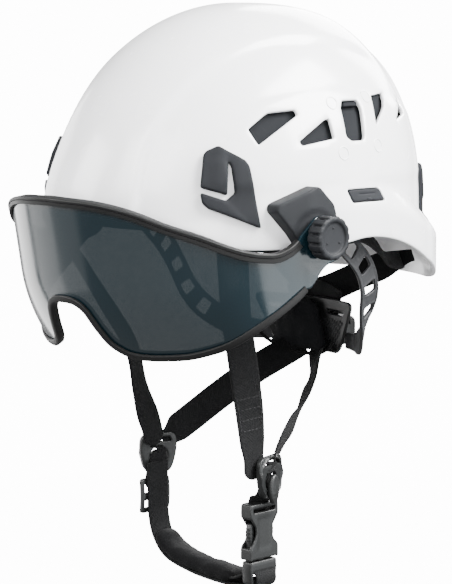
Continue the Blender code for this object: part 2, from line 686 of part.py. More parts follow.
# ---------------------------------------------------------------- straps
FRONT_STRAP = [(80.6, -74.8, 8), (81, -76, -12), (73, -67, -34), (64.5, -57, -56), (53, -42, -88),
               (51, -35.5, -117), (50, -28, -143), (52, -24.5, -150)]
FRONT_FACING = [(0.8, -0.6, 0), (0.8, -0.6, 0), (0.83, -0.55, 0), (0.85, -0.5, 0), (0.87, -0.45, 0),
                (0.9, -0.35, 0), (0.96, -0.1, 0), (0.97, 0.1, 0)]
REAR_STRAP = [(16.2, 68.6, -105.5), (28.7, 50, -112), (38, 28, -132.5), (46, 8, -141), (51, -4, -148)]
REAR_FACING = [(0.5, 0.86, 0), (0.7, 0.7, 0), (0.75, 0.65, 0), (0.85, 0.5, 0), (0.97, 0.25, 0)]
NAPE_STRAP = [(66, 103.5, -24), (52, 99, -35), (34, 93, -46), (10, 86, -60)]
NAPE_FACING = [(0.45, 0.89, 0), (0.4, 0.92, 0), (0.3, 0.95, 0.1), (0.1, 1, 0.1)]
CHIN_STRAP = [(-50, -21, -172), (-50, -21, -190), (-49.5, -21, -207), (-45, -21, -222), (-33, -21, -234),
              (-10, -21, -239.5), (12, -21, -241.5), (38, -21, -242)]
CHIN_FACING = [(-1, 0, 0), (-1, 0, 0), (-1, 0, -0.1), (-0.85, 0, -0.5), (-0.5, 0, -0.85), (-0.15, 0, -1),
               (0, 0, -1), (0, 0, -1)]
CHIN_PAD = [(-49, -21, -206), (-45, -21, -220.5), (-33, -21, -232), (-10, -21, -237.5), (12, -21, -239.5),
            (34, -21, -240)]
CHIN_PAD_FACING = [(1, 0, 0.1), (0.85, 0, 0.5), (0.5, 0, 0.85), (0.15, 0, 1), (0, 0, 1), (0, 0, 1)]


def build_straps():
    for word, side in (("left", 1), ("right", -1)):
        front = ribbon(mirrored(FRONT_STRAP, side), mirrored(FRONT_FACING, side), WEBBING_WIDTH,
                       WEBBING_THICKNESS, 2)
        add_part(f"front_strap_{word}", front, "webbing_black")
        rear = ribbon(mirrored(REAR_STRAP, side), mirrored(REAR_FACING, side), WEBBING_WIDTH,
                      WEBBING_THICKNESS, 3)
        add_part(f"rear_strap_{word}", rear, "webbing_black")
        nape = ribbon(mirrored(NAPE_STRAP, side), mirrored(NAPE_FACING, side), WEBBING_WIDTH,
                      WEBBING_THICKNESS, 3)
        add_part(f"nape_strap_{word}", nape, "webbing_black", Vector((0, CRADLE_Y, CRADLE_Z)))
        out = Vector((side * 0.8, -0.6, 0))
        frame = axes_frame(Vector((side * 83.6, -76.9, 5)) * MM, Vector((0, 0, 1)).cross(out),
                           Vector((0, 0, 1)), out)
        points = [(x * MM, y * MM) for x, y in ((-10, -7), (10, -7), (10, 3), (6, 7), (-6, 7), (-10, 3))]
        add_part(f"front_anchor_{word}", plate([points], 1.4 * MM, frame), "clip_grey")


# ---------------------------------------------------------------- dividers and buckle
def divider_frame(side):
    """Frame of a strap divider: X rearwards along its plate, Y up, Z outwards."""
    out = Vector((side * 0.97, 0.243, 0)).normalized()
    across = Vector((0, 0, 1)).cross(out) * side
    return axes_frame(Vector((side * DIVIDER.x, DIVIDER.y, DIVIDER.z)), across, Vector((0, 0, 1)), out)


def build_dividers():
    edge = [(-15, 8), (-13, 14), (13, 14), (15, 8), (11.5, -10), (7, -14.5), (-7, -14.5), (-11.5, -10)]
    slot = [(-11.2, 11), (11.2, 11), (11.5, 8), (-11.5, 8)]
    eye = [(x, y - 2.6) for x, y in ring_outline(7.2, 20)]
    for word, side in (("left", 1), ("right", -1)):
        frame = divider_frame(side)
        outlines = [[(x * MM, y * MM) for x, y in shape] for shape in (edge, slot, eye)]
        add_part(f"strap_divider_{word}", plate(outlines, 3.6 * MM, frame), "buckle_black")
        lever = [(x * 0.62, y * 1.1 - 8) for x, y in ring_outline(9, 20)]
        hinge = frame @ Vector((0, -17.5 * MM, 4 * MM))
        part = plate([[(x * MM, y * MM) for x, y in lever]], 3 * MM,
                     frame @ Matrix.Translation((0, 0, 3.8 * MM)))
        add_part(f"divider_lever_{word}", part, "buckle_black", hinge)


def build_buckle():
    centre = Vector((BUCKLE_X, BUCKLE_Y, BUCKLE_TOP - FEMALE_LENGTH / 2))
    low = BUCKLE_TOP - FEMALE_LENGTH
    female = add_part("buckle_female", box((BUCKLE_DEPTH, BUCKLE_WIDTH, FEMALE_LENGTH), centre, 1.2 * MM),
                      "buckle_black")
    cavity = box((6.4 * MM, 21 * MM, 30 * MM), Vector((BUCKLE_X, BUCKLE_Y, low + 13 * MM)))
    window = box((6.4 * MM, 60 * MM, 14 * MM), Vector((BUCKLE_X, BUCKLE_Y, low + 17 * MM)))
    slot = box((30 * MM, 20 * MM, 3 * MM), Vector((BUCKLE_X, BUCKLE_Y, BUCKLE_TOP - 4.5 * MM)))
    for name, cut in (("buckle_cavity", cavity), ("buckle_windows", window), ("buckle_slot", slot)):
        boolean(female, add_cutter(name, cut))

    base_centre = Vector((BUCKLE_X, BUCKLE_Y, low - 8.6 * MM))
    male = add_part("buckle_male", box((9 * MM, 24 * MM, 16 * MM), base_centre, 1 * MM), "buckle_black")
    tongue = box((4 * MM, 5 * MM, 32 * MM), Vector((BUCKLE_X, BUCKLE_Y, low + 10 * MM)))
    boolean(male, add_cutter("buckle_tongue", tongue), "UNION")
    strap_slot = box((30 * MM, 21 * MM, 3.4 * MM), base_centre + Vector((0, 0, -3.5 * MM)))
    boolean(male, add_cutter("male_slot", strap_slot))
    for word, side in (("front", -1), ("rear", 1)):
        place = Vector((BUCKLE_X, BUCKLE_Y + side * 8.4 * MM, low + 12.5 * MM))
        prong = box((4.6 * MM, 3.4 * MM, 24 * MM), place, 0.6 * MM)
        add_part(f"buckle_prong_{word}", prong, "buckle_black")

    frame = axes_frame(Vector((-BUCKLE_X - 0.8 * MM, BUCKLE_Y, -195.5 * MM)), Vector((0, 1, 0)),
                       Vector((0, 0, 1)), Vector((1, 0, 0)))
    edge = [(-13, -12), (13, -12), (13, 12), (-13, 12)]
    lower = [(-10.6, -8.5), (10.6, -8.5), (10.6, -3), (-10.6, -3)]
    upper = [(-10.6, 2), (10.6, 2), (10.6, 8.5), (-10.6, 8.5)]
    outlines = [[(x * MM, y * MM) for x, y in shape] for shape in (edge, lower, upper)]
    frame = frame @ Matrix.Translation((0, 0, -3 * MM))
    add_part("ladder_lock", plate(outlines, 3 * MM, frame), "buckle_black")


def build_chin():
    strap = ribbon(CHIN_STRAP, CHIN_FACING, WEBBING_WIDTH, WEBBING_THICKNESS, 3)
    add_part("chin_strap", strap, "webbing_black")
    pad = ribbon(CHIN_PAD, CHIN_PAD_FACING, 25 * MM, 10 * MM, 4)
    add_part("chin_pad", pad, "pad_black")


clear_scene()
PARTS = new_collection("hard_hat")
CUTTERS = new_collection("cutters")
build_shell()
build_shell_fittings()
build_visor()
build_headband()
build_arm("left", 1)
build_arm("right", -1)
build_nape()
build_straps()
build_dividers()
build_buckle()
build_chin()
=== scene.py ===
import math

import bmesh
import bpy
import numpy as np
from mathutils import Matrix, Vector, geometry, kdtree, noise


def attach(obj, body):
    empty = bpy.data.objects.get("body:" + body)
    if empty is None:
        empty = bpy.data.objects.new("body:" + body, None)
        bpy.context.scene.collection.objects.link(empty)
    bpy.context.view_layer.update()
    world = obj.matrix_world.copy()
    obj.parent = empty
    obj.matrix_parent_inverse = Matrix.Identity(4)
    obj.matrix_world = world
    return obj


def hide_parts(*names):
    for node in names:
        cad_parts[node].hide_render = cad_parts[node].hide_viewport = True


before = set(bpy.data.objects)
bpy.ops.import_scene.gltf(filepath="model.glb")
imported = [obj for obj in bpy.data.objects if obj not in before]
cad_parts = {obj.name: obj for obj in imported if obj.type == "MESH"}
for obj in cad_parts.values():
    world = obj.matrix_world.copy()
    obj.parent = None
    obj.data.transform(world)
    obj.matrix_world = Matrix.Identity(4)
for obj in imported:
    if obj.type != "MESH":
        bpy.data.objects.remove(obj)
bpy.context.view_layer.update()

# Lengths below are in millimetres; MM turns them into metres when a mesh is finished.
MM = 0.001
SIDES = (("left", 1), ("right", -1))


# ---------------------------------------------------------------- materials
def node_tree(name):
    material = bpy.data.materials.new(name)
    material.use_nodes = True
    return material, material.node_tree, material.node_tree.nodes["Principled BSDF"]


def coordinates(tree, attribute=None):
    if attribute:
        node = tree.nodes.new("ShaderNodeAttribute")
        node.attribute_name = attribute
        return node.outputs["Vector"]
    return tree.nodes.new("ShaderNodeTexCoord").outputs["Object"]


def noise_node(tree, where, scale, detail=3.0):
    node = tree.nodes.new("ShaderNodeTexNoise")
    node.inputs["Scale"].default_value = scale
    node.inputs["Detail"].default_value = detail
    tree.links.new(where, node.inputs["Vector"])
    return node.outputs["Fac"]


def ramp(tree, fac, low, high, start=0.3, end=0.7):
    """Value or colour that goes from low to high as fac goes from start to end."""
    node = tree.nodes.new("ShaderNodeValToRGB")
    first, last = node.color_ramp.elements
    first.position, last.position = start, end
    first.color = (*low, 1) if isinstance(low, tuple) else (low, low, low, 1)
    last.color = (*high, 1) if isinstance(high, tuple) else (high, high, high, 1)
    tree.links.new(fac, node.inputs["Fac"])
    return node.outputs["Color"]


def bump(tree, height, distance, strength=1.0, under=None):
    node = tree.nodes.new("ShaderNodeBump")
    node.inputs["Strength"].default_value = strength
    node.inputs["Distance"].default_value = distance * MM
    tree.links.new(height, node.inputs["Height"])
    if under is not None:
        tree.links.new(under, node.inputs["Normal"])
    return node.outputs["Normal"]


def moulded(name, low, high, roughness, grain, grain_depth, specular=0.5, coat=0.0, broad=18.0):
    """Moulded plastic: broad colour change, fine surface grain and uneven gloss."""
    material, tree, shader = node_tree(name)
    where = coordinates(tree)
    tree.links.new(ramp(tree, noise_node(tree, where, broad, 4), low, high), shader.inputs["Base Color"])
    tree.links.new(ramp(tree, noise_node(tree, where, 60), *roughness), shader.inputs["Roughness"])
    fine = bump(tree, noise_node(tree, where, grain, 2), grain_depth, 0.6)
    ripple = bump(tree, noise_node(tree, where, 35, 1), 0.12, 0.25, fine)
    tree.links.new(ripple, shader.inputs["Normal"])
    shader.inputs["Specular IOR Level"].default_value = specular
    shader.inputs["Coat Weight"].default_value = coat
    shader.inputs["Coat Roughness"].default_value = 0.12
    return material


def sine(tree, socket, period, phase=0.0):
    scaled = tree.nodes.new("ShaderNodeMath")
    scaled.operation = "MULTIPLY_ADD"
    scaled.inputs[1].default_value = math.tau / period
    scaled.inputs[2].default_value = phase
    tree.links.new(socket, scaled.inputs[0])
    wave = tree.nodes.new("ShaderNodeMath")
    wave.operation = "SINE"
    tree.links.new(scaled.outputs[0], wave.inputs[0])
    return wave.outputs[0]


def combine(tree, operation, a, b):
    node = tree.nodes.new("ShaderNodeMath")
    node.operation = operation
    for socket, value in zip(node.inputs, (a, b)):
        if isinstance(value, (int, float)):
            socket.default_value = value
        else:
            tree.links.new(value, socket)
    return node.outputs[0]


def webbing_material():
    """Woven polyester: diagonal ribs across the band, with darker colour in the low gaps between the threads:
    painted shade.
    """
    material, tree, shader = node_tree("webbing_weave")
    flat = coordinates(tree, "flat")
    split = tree.nodes.new("ShaderNodeSeparateXYZ")
    tree.links.new(flat, split.inputs[0])
    along, across = split.outputs[0], split.outputs[1]
    slanted = combine(tree, "ADD", combine(tree, "ABSOLUTE", across, 0), along)
    twill = combine(tree, "MULTIPLY", sine(tree, slanted, 2.1), 0.5)
    threads = combine(tree, "MULTIPLY", sine(tree, across, 0.9), sine(tree, along, 0.8))
    weave = combine(tree, "ADD", twill, threads)
    where = coordinates(tree)
    worn = noise_node(tree, where, 120, 3)
    # The weave's height also darkens the colour where the threads sink: painted shade between the threads,
    # mixed with random tone from the worn noise.
    shade = combine(tree, "ADD", combine(tree, "MULTIPLY", weave, 0.25), worn)
    tree.links.new(ramp(tree, shade, (0.0024, 0.0025, 0.0027), (0.0066, 0.0068, 0.0073), 0.25, 0.85),
                   shader.inputs["Base Color"])
    tree.links.new(ramp(tree, worn, 0.62, 0.82), shader.inputs["Roughness"])
    fuzz = bump(tree, noise_node(tree, where, 2200, 2), 0.06, 0.5)
    tree.links.new(bump(tree, weave, 0.16, 0.8, fuzz), shader.inputs["Normal"])
    shader.inputs["Sheen Weight"].default_value = 0.02
    shader.inputs["Sheen Roughness"].default_value = 0.4
    shader.inputs["Specular IOR Level"].default_value = 0.12
    return material


def padding_material(name, low, high, scale=1500.0, sheen=0.012):
    """Knitted lining over foam: small round loops, soft creases and a light sheen."""
    material, tree, shader = node_tree(name)
    where = coordinates(tree)
    loops = tree.nodes.new("ShaderNodeTexVoronoi")
    loops.inputs["Scale"].default_value = scale
    tree.links.new(where, loops.inputs["Vector"])
    patches = noise_node(tree, where, 45, 4)
    tree.links.new(ramp(tree, patches, low, high), shader.inputs["Base Color"])
    tree.links.new(ramp(tree, patches, 0.7, 0.9), shader.inputs["Roughness"])
    knit = bump(tree, loops.outputs["Distance"], 0.18, 0.7)
    crease = bump(tree, noise_node(tree, where, 160, 3), 0.5, 0.5, knit)
    tree.links.new(crease, shader.inputs["Normal"])
    shader.inputs["Sheen Weight"].default_value = sheen
    shader.inputs["Sheen Roughness"].default_value = 0.5
    shader.inputs["Specular IOR Level"].default_value = 0.08
    return material


def bead_foam_material():
    material, tree, shader = node_tree("bead_foam")
    where = coordinates(tree)
    beads = tree.nodes.new("ShaderNodeTexVoronoi")
    beads.inputs["Scale"].default_value = 330
    tree.links.new(where, beads.inputs["Vector"])
    # Colour darkens towards the bead edges, where the bump sinks: painted shade between the beads.
    tree.links.new(ramp(tree, beads.outputs["Distance"], (0.02, 0.0205, 0.022), (0.009, 0.0093, 0.0105),
                        0.2, 0.7),
                   shader.inputs["Base Color"])
    tree.links.new(ramp(tree, noise_node(tree, where, 90), 0.75, 0.95), shader.inputs["Roughness"])
    tree.links.new(bump(tree, beads.outputs["Distance"], -0.35, 0.7), shader.inputs["Normal"])
    return material


def steel_material():
    material, tree, shader = node_tree("plain_steel")
    where = coordinates(tree)
    tree.links.new(ramp(tree, noise_node(tree, where, 400, 4), (0.5, 0.5, 0.51), (0.66, 0.66, 0.67)),
                   shader.inputs["Base Color"])
    tree.links.new(ramp(tree, noise_node(tree, where, 900, 2), 0.22, 0.4), shader.inputs["Roughness"])
    tree.links.new(bump(tree, noise_node(tree, where, 1500, 2), 0.02), shader.inputs["Normal"])
    shader.inputs["Metallic"].default_value = 1.0
    return material


def smoke_material():
    """Tinted polycarbonate: seen through, darker at its moulded edge, with a hard gloss."""
    material, tree, shader = node_tree("smoke_polycarbonate")
    where = coordinates(tree)
    tree.links.new(ramp(tree, noise_node(tree, where, 9, 2), (0.0026, 0.0088, 0.0124),
                        (0.0034, 0.0108, 0.0148)),
                   shader.inputs["Base Color"])
    tree.links.new(ramp(tree, noise_node(tree, where, 70, 2), 0.13, 0.17), shader.inputs["Roughness"])
    tree.links.new(bump(tree, noise_node(tree, where, 25, 1), 0.05, 0.2), shader.inputs["Normal"])
    shader.inputs["Alpha"].default_value = 0.952
    shader.inputs["IOR"].default_value = 1.58
    shader.inputs["Specular IOR Level"].default_value = 0.42
    return material


def floor_material():
    material, tree, shader = node_tree("studio_floor")
    where = coordinates(tree)
    tree.links.new(ramp(tree, noise_node(tree, where, 3), (0.02, 0.02, 0.0205), (0.03, 0.03, 0.0305)),
                   shader.inputs["Base Color"])
    shader.inputs["Roughness"].default_value = 0.9
    shader.inputs["Specular IOR Level"].default_value = 0.1
    shader.inputs["Emission Color"].default_value = (1, 1, 1, 1)
    shader.inputs["Emission Strength"].default_value = FLOOR_GLOW
    return material


FLOOR_GLOW = 14.0
WHITE = moulded("shell_gloss_white", (0.80, 0.80, 0.815), (0.85, 0.85, 0.862), (0.2, 0.29), 900, 0.025,
                0.5, 0.35, 10)
GREY = moulded("fitting_grey", (0.0105, 0.0112, 0.0128), (0.0135, 0.0144, 0.0162), (0.5, 0.62), 1900, 0.09,
               0.15)
CHARCOAL = moulded("edge_charcoal", (0.0062, 0.0062, 0.0063), (0.009, 0.009, 0.0091), (0.42, 0.54), 1500,
                   0.05, 0.16)
ARM_GREY = moulded("cradle_grey", (0.026, 0.0265, 0.0282), (0.031, 0.0317, 0.0336), (0.48, 0.58), 1700,
                   0.06, 0.16)
CLIP_GREY = moulded("clip_matt_grey", (0.012, 0.0127, 0.0145), (0.0155, 0.0164, 0.0184), (0.6, 0.7), 1900,
                    0.09, 0.07)
SCREEN_GREY = moulded("screen_matt_grey", (0.0105, 0.0112, 0.0126), (0.014, 0.0148, 0.0164), (0.7, 0.8),
                      1900, 0.09, 0.03)
BLACK = moulded("buckle_black", (0.0054, 0.0058, 0.0059), (0.0078, 0.0084, 0.0085), (0.36, 0.48), 1800,
                0.07, 0.35)
WEBBING = webbing_material()
THREAD = moulded("thread_black", (0.008, 0.008, 0.0085), (0.014, 0.014, 0.015), (0.5, 0.6), 2500, 0.05, 0.2)
PADDING = padding_material("lining_black", (0.0034, 0.0035, 0.0040), (0.0075, 0.0078, 0.0088))
CHIN_PADDING = padding_material("sleeve_black", (0.0016, 0.0016, 0.0018), (0.0036, 0.0037, 0.0041))
BINDING = padding_material("binding_black", (0.004, 0.004, 0.0042), (0.007, 0.007, 0.0073), 2600, 0.02)
FOAM = bead_foam_material()
STEEL = steel_material()
SMOKE = smoke_material()


# ---------------------------------------------------------------- mesh helpers
def smooth(t):
    t = min(max(t, 0.0), 1.0)
    return t * t * (3 - 2 * t)


def table(rows, x):
    """Value at x read from (x, value) rows, with straight lines between them."""
    if x <= rows[0][0]:
        return rows[0][1]
    for (x0, y0), (x1, y1) in zip(rows, rows[1:]):
        if x <= x1:
            return y0 + (y1 - y0) * (x - x0) / (x1 - x0)
    return rows[-1][1]


def rounded(points, radius, steps=4):
    """The outline with each corner turned into a curve."""
    outline, count = [], len(points)
    for i in range(count):
        before, here, after = (Vector(points[(i + k) % count]) for k in (-1, 0, 1))
        to_before, to_after = before - here, after - here
        start = here + to_before * min(radius / to_before.length, 0.46)
        end = here + to_after * min(radius / to_after.length, 0.46)
        for step in range(steps + 1):
            t = step / steps
            outline.append(start * (1 - t) ** 2 + here * 2 * t * (1 - t) + end * t ** 2)
    return outline


def spaced(loop, gap):
    """The outline with extra points, so that no two neighbours are further apart than gap."""
    result = []
    for a, b in zip(loop, list(loop[1:]) + [loop[0]]):
        a, b = Vector(a), Vector(b)
        parts = max(1, math.ceil((b - a).length / gap))
        result += [a.lerp(b, k / parts) for k in range(parts)]
    return result


def circle(radius, count, centre=(0.0, 0.0)):
    return [Vector((centre[0] + radius * math.cos(math.tau * i / count),
                    centre[1] + radius * math.sin(math.tau * i / count))) for i in range(count)]


def area(loop):
    return sum(a.x * b.y - b.x * a.y for a, b in zip(loop, loop[1:] + loop[:1])) / 2


def inset_loop(loop, amount):
    count, moved = len(loop), []
    for i in range(count):
        before, here, after = loop[i - 1], loop[i], loop[(i + 1) % count]
        a, b = (here - before).normalized(), (after - here).normalized()
        normal = Vector((-a.y - b.y, a.x + b.x))
        if normal.length < 1e-6:
            normal = Vector((-a.y, a.x))
        normal.normalize()
        spread = max(0.6, normal.dot(Vector((-a.y, a.x))))
        moved.append(here + normal * amount / spread)
    return moved


def inside(points, loops):
    """Which of the points lie inside the outlines, by counting crossings."""
    result = np.zeros(len(points), bool)
    for loop in loops:
        a = np.array([tuple(p) for p in loop])
        b = np.roll(a, -1, 0)
        low, high = a.min(0) - 1, a.max(0) + 1
        near = np.nonzero(((points > low) & (points < high)).all(1))[0]
        for part in np.array_split(near, max(1, len(near) // 4000)):
            x, y = points[part, 0][:, None], points[part, 1][:, None]
            cross = (a[:, 1] > y) != (b[:, 1] > y)
            with np.errstate(divide="ignore", invalid="ignore"):
                at = (b[:, 0] - a[:, 0]) * (y - a[:, 1]) / (b[:, 1] - a[:, 1]) + a[:, 0]
            result[part] ^= ((cross & (x < at)).sum(1) % 2).astype(bool)
    return result


def hexagons(loop, gap):
    xs, ys = [p.x for p in loop], [p.y for p in loop]
    points, row, y = [], 0, min(ys)
    while y < max(ys):
        x = min(xs) + (gap / 2 if row % 2 else 0)
        while x < max(xs):
            points.append((x, y))
            x += gap
        y += gap * 0.866
        row += 1
    return np.array(points) if points else np.zeros((0, 2))


def slab(loops, levels, gap=2.0, lattice=None, place=None):
    """Closed solid from flat outlines, the first its edge and the others holes.

    levels are (height, inset) from the underside to the top, so they draw the edge's profile.
    place(x, y, height) then puts each point in space.
    """
    loops = [[Vector(p) for p in loop] for loop in loops]
    loops = [loop if (area(loop) > 0) == (i == 0) else loop[::-1] for i, loop in enumerate(loops)]
    widest = max(inset for _, inset in levels)
    points = hexagons(loops[0], gap) if lattice is None else lattice
    if len(points):
        points = points[inside(points, loops)]
    tree = kdtree.KDTree(sum(len(loop) for loop in loops))
    for i, p in enumerate(p for loop in loops for p in loop):
        tree.insert((p.x, p.y, 0), i)
    tree.balance()
    clear = widest + gap * 0.45
    points = [p for p in points if tree.find((p[0], p[1], 0))[2] > clear]

    bm = bmesh.new()
    layer = bm.verts.layers.float_vector.new("flat")

    def vert(x, y, height):
        new = bm.verts.new((x, y, height))
        new[layer] = (x, y, height)
        return new
    rings = []
    for loop in loops:
        rings.append([[vert(p.x, p.y, height) for p in inset_loop(loop, inset)] for height, inset in levels])
    flat, edges = [], []
    for ring in rings:
        start, count = len(flat), len(ring[-1])
        flat += [Vector((v.co.x, v.co.y)) for v in ring[-1]]
        edges += [(start + i, start + (i + 1) % count) for i in range(count)]
    rim_count = len(flat)
    flat += [Vector((p[0], p[1])) for p in points]
    out, _, faces, origin, _, _ = geometry.delaunay_2d_cdt(flat, edges, [], 0, 1e-5)
    centres = np.array([tuple((out[f[0]] + out[f[1]] + out[f[2]]) / 3) for f in faces])
    kept = inside(centres,
                  [flat[e:e + len(r[-1])] for e, r in zip(np.cumsum([0] + [len(r[-1]) for r in rings]),
                                                                  rings)])
    rims = {top: [v for ring in rings for v in ring[-1 if top else 0]] for top in (True, False)}
    corner = {True: {}, False: {}}
    for index, sources in enumerate(origin):
        rim = [s for s in sources if s < rim_count]
        for top in (True, False):
            height = levels[-1 if top else 0][0]
            corner[top][index] = rims[top][rim[0]] if rim else vert(out[index].x, out[index].y, height)
    for face, keep in zip(faces, kept):
        if keep and len({corner[True][i] for i in face}) == 3:
            bm.faces.new([corner[True][i] for i in face])
            bm.faces.new([corner[False][i] for i in reversed(face)])
    for ring in rings:
        for low, high in zip(ring, ring[1:]):
            for i in range(len(low)):
                j = (i + 1) % len(low)
                bm.faces.new((low[i], low[j], high[j], high[i]))
    loose = [v for v in bm.verts if not v.link_faces]
    bmesh.ops.delete(bm, geom=loose, context="VERTS")
    if place:
        for v in bm.verts:
            v.co = place(*v.co)
    bmesh.ops.recalc_face_normals(bm, faces=bm.faces)
    return bm


def lofted(sections, closed_ends=True):
    """Skin over rings of points with equal counts."""
    bm = bmesh.new()
    layer = bm.verts.layers.float_vector.new("flat")
    rings = []
    for i, section in enumerate(sections):
        ring = []
        for j, p in enumerate(section):
            v = bm.verts.new(p)
            v[layer] = (i, j, 0)
            ring.append(v)
        rings.append(ring)
    for low, high in zip(rings, rings[1:]):
        for i in range(len(low)):
            j = (i + 1) % len(low)
            bm.faces.new((low[i], low[j], high[j], high[i]))
    if closed_ends:
        bm.faces.new(rings[0][::-1])
        bm.faces.new(rings[-1])
    bmesh.ops.recalc_face_normals(bm, faces=bm.faces)
    return bm


def turned(profile, count, shape=None):
    """Body of revolution about X: profile rows are (radius, x); shape changes a radius by angle."""
    bm = bmesh.new()
    bm.verts.layers.float_vector.new("flat")
    rings = []
    for radius, x in profile:
        ring = []
        for i in range(count):
            angle = math.tau * i / count
            r = shape(radius, x, angle) if shape else radius
            ring.append(bm.verts.new((x, r * math.cos(angle), r * math.sin(angle))))
        rings.append(ring)
    for low, high in zip(rings, rings[1:]):
        for i in range(count):
            j = (i + 1) % count
            bm.faces.new((low[i], low[j], high[j], high[i]))
    bm.faces.new(rings[0][::-1])
    bm.faces.new(rings[-1])
    bmesh.ops.recalc_face_normals(bm, faces=bm.faces)
    return bm


def joined(*bodies):
    total = bmesh.new()
    total.verts.layers.float_vector.new("flat")
    for bm in bodies:
        mesh = bpy.data.meshes.new("joined")
        bm.to_mesh(mesh)
        bm.free()
        total.from_mesh(mesh)
        bpy.data.meshes.remove(mesh)
    return total


def painted(bm, index):
    for face in bm.faces:
        face.material_index = index
    return bm


def piece(name, bm, materials, body, slot, nodes=(), sharp=38, mirror=False):
    """Finish a bmesh given in millimetres: a named object on a body, with its materials."""
    if mirror:
        bmesh.ops.scale(bm, vec=(-1, 1, 1), verts=bm.verts)
        bmesh.ops.reverse_faces(bm, faces=bm.faces)
    bmesh.ops.scale(bm, vec=(MM, MM, MM), verts=bm.verts)
    mesh = bpy.data.meshes.new(name)
    bm.to_mesh(mesh)
    bm.free()
    mesh.shade_smooth()
    if sharp:
        mesh.set_sharp_from_angle(angle=math.radians(sharp))
    for material in materials if isinstance(materials, (list, tuple)) else [materials]:
        mesh.materials.append(material)
    new = bpy.data.objects.new(name, mesh)
    bpy.context.scene.collection.objects.link(new)
    FINISH.append((new, body, slot, nodes))
    return new


FINISH = []


def applied(piece_object):
    """Replace the object's mesh by what its modifiers make of it."""
    graph = bpy.context.evaluated_depsgraph_get()
    mesh = bpy.data.meshes.new_from_object(piece_object.evaluated_get(graph), preserve_all_data_layers=True,
                                           depsgraph=graph)
    old = piece_object.data
    piece_object.modifiers.clear()
    piece_object.data = mesh
    bpy.data.meshes.remove(old)


def carved(piece_object, centre, size):
    """Cut a box, given in millimetres, out of the object."""
    bm = bmesh.new()
    bmesh.ops.create_cube(bm, size=MM)
    bmesh.ops.scale(bm, vec=size, verts=bm.verts)
    bmesh.ops.translate(bm, vec=Vector(centre) * MM, verts=bm.verts)
    mesh = bpy.data.meshes.new("cutter")
    bm.to_mesh(mesh)
    bm.free()
    cutter = bpy.data.objects.new("cutter", mesh)
    bpy.context.scene.collection.objects.link(cutter)
    cut = piece_object.modifiers.new("cut", "BOOLEAN")
    cut.operation, cut.solver, cut.object = "DIFFERENCE", "EXACT", cutter
    bpy.context.view_layer.update()
    applied(piece_object)
    bpy.data.objects.remove(cutter)
    bpy.data.meshes.remove(mesh)


# ---------------------------------------------------------------- shell surface
HALF_WIDTH, FRONT_REACH, REAR_REACH, CENTRE_Y, CROWN = 112.0, 151.0, 131.0, 11.0, 145.0
FRONT_FULLNESS, REAR_FULLNESS, LEAN = 1.76, 2.74, -7.0
RISE_PER_DEGREE, MAP_PER_DEGREE = 2.53, 2.2


def folded(turn):
    return abs((turn + 180) % 360 - 180)


def rim_height(turn):
    turn = folded(turn)
    behind_visor = 4.5 * smooth((turn - 30) / 20) * (1 - smooth((turn - 78) / 14))
    return 10 - 15 * smooth((turn - 8) / 55) - 41 * smooth((turn - 92) / 62) - behind_visor


def liner_rim(turn):
    turn = folded(turn)
    return 18 - 5 * smooth(turn / 80) - 14 * smooth((turn - 100) / 60)


def shell_at(turn, rise, inset=0.0, flared=True):
    angle = math.radians(turn)
    power = (FRONT_FULLNESS + REAR_FULLNESS) / 2 - (REAR_FULLNESS - FRONT_FULLNESS) / 2 * math.cos(angle)
    level = min(max(rise / (CROWN - inset), 0.0), 1.0)
    spread = (1 - level ** power) ** (1 / power)
    reach = FRONT_REACH if math.cos(angle) > 0 else REAR_REACH
    flare = 0.0
    if flared:
        bend = folded(turn)
        crease = 30 - 28 * smooth((bend - 92) / 55)
        flare = 12 * smooth((bend - 65) / 85) * smooth((crease - rise) / 18)
    return Vector((math.sin(angle) * ((HALF_WIDTH - inset) * spread + flare),
                   -math.cos(angle) * ((reach - inset) * spread + flare) + CENTRE_Y + LEAN * level ** 2,
                   rise))


def rise_at(turn, climb, inset=0.0):
    if climb <= 0:
        return climb * RISE_PER_DEGREE
    power = (FRONT_FULLNESS + REAR_FULLNESS) / 2 - (REAR_FULLNESS - FRONT_FULLNESS) / 2 * math.cos(
        math.radians(turn))
    up, out = math.sin(math.radians(climb)), abs(math.cos(math.radians(climb)))
    return (CROWN - inset) * up * (up ** power + out ** power) ** (-1 / power)


def shell_frame(turn, rise):
    here = shell_at(turn, rise)
    around = (shell_at(turn + 1, rise) - shell_at(turn - 1, rise)).normalized()
    up = (shell_at(turn, rise + 2) - shell_at(turn, rise - 2)).normalized()
    out = around.cross(up).normalized()
    columns = Matrix((around, out.cross(around), out)).transposed().to_4x4()
    return Matrix.Translation(here) @ columns


# The crest step: rows of Y and half its width there.
CREST = [(-150, 41), (-125, 40.6), (-116, 38), (-102, 39.5), (-80, 44), (-60, 48.7), (-31, 55), (3, 63),
         (28, 65), (45, 66.5), (62, 67), (110, 67)]
# The side panel and the rear brim: rows of turn from the front in degrees, and the top edge's height.
PANEL = [(44, 50), (46.5, 57), (50.5, 68), (56, 78), (62, 85.5), (70, 89.5), (79.5, 93), (89, 93.5),
         (101, 91.5), (120, 84), (150, 70)]
BRIM = [(72, 24), (77, 27.5), (80.5, 29.5), (84.5, 30.5), (93.5, 29.5), (103.5, 26.5), (117, 15), (135, 3),
        (160, -2), (180, -3)]


def relief(turn, rise, point):
    """Height of the moulded steps above the plain dome."""
    turn = folded(turn)
    crest = smooth((table(CREST, point.y) + 7.4 - abs(point.x)) / 7.4) * (1 - smooth((point.y - 52) / 34))
    lift = -1.1 + 2.7 * crest if point.y < 86 else -1.1 * (1 - smooth((point.y - 86) / 10))
    ends = smooth((turn - 44) / 4), 1 - smooth((turn - 128) / 20)
    panel = smooth((table(PANEL, turn) - rise) / 5) * ends[0] * ends[1]
    lift += 1.1 * panel * smooth((rise - 26) / 8)
    brim = smooth((table(BRIM, turn) - rise) / 3.2) * smooth((turn - 72) / 8)
    return lift + 1.2 * brim


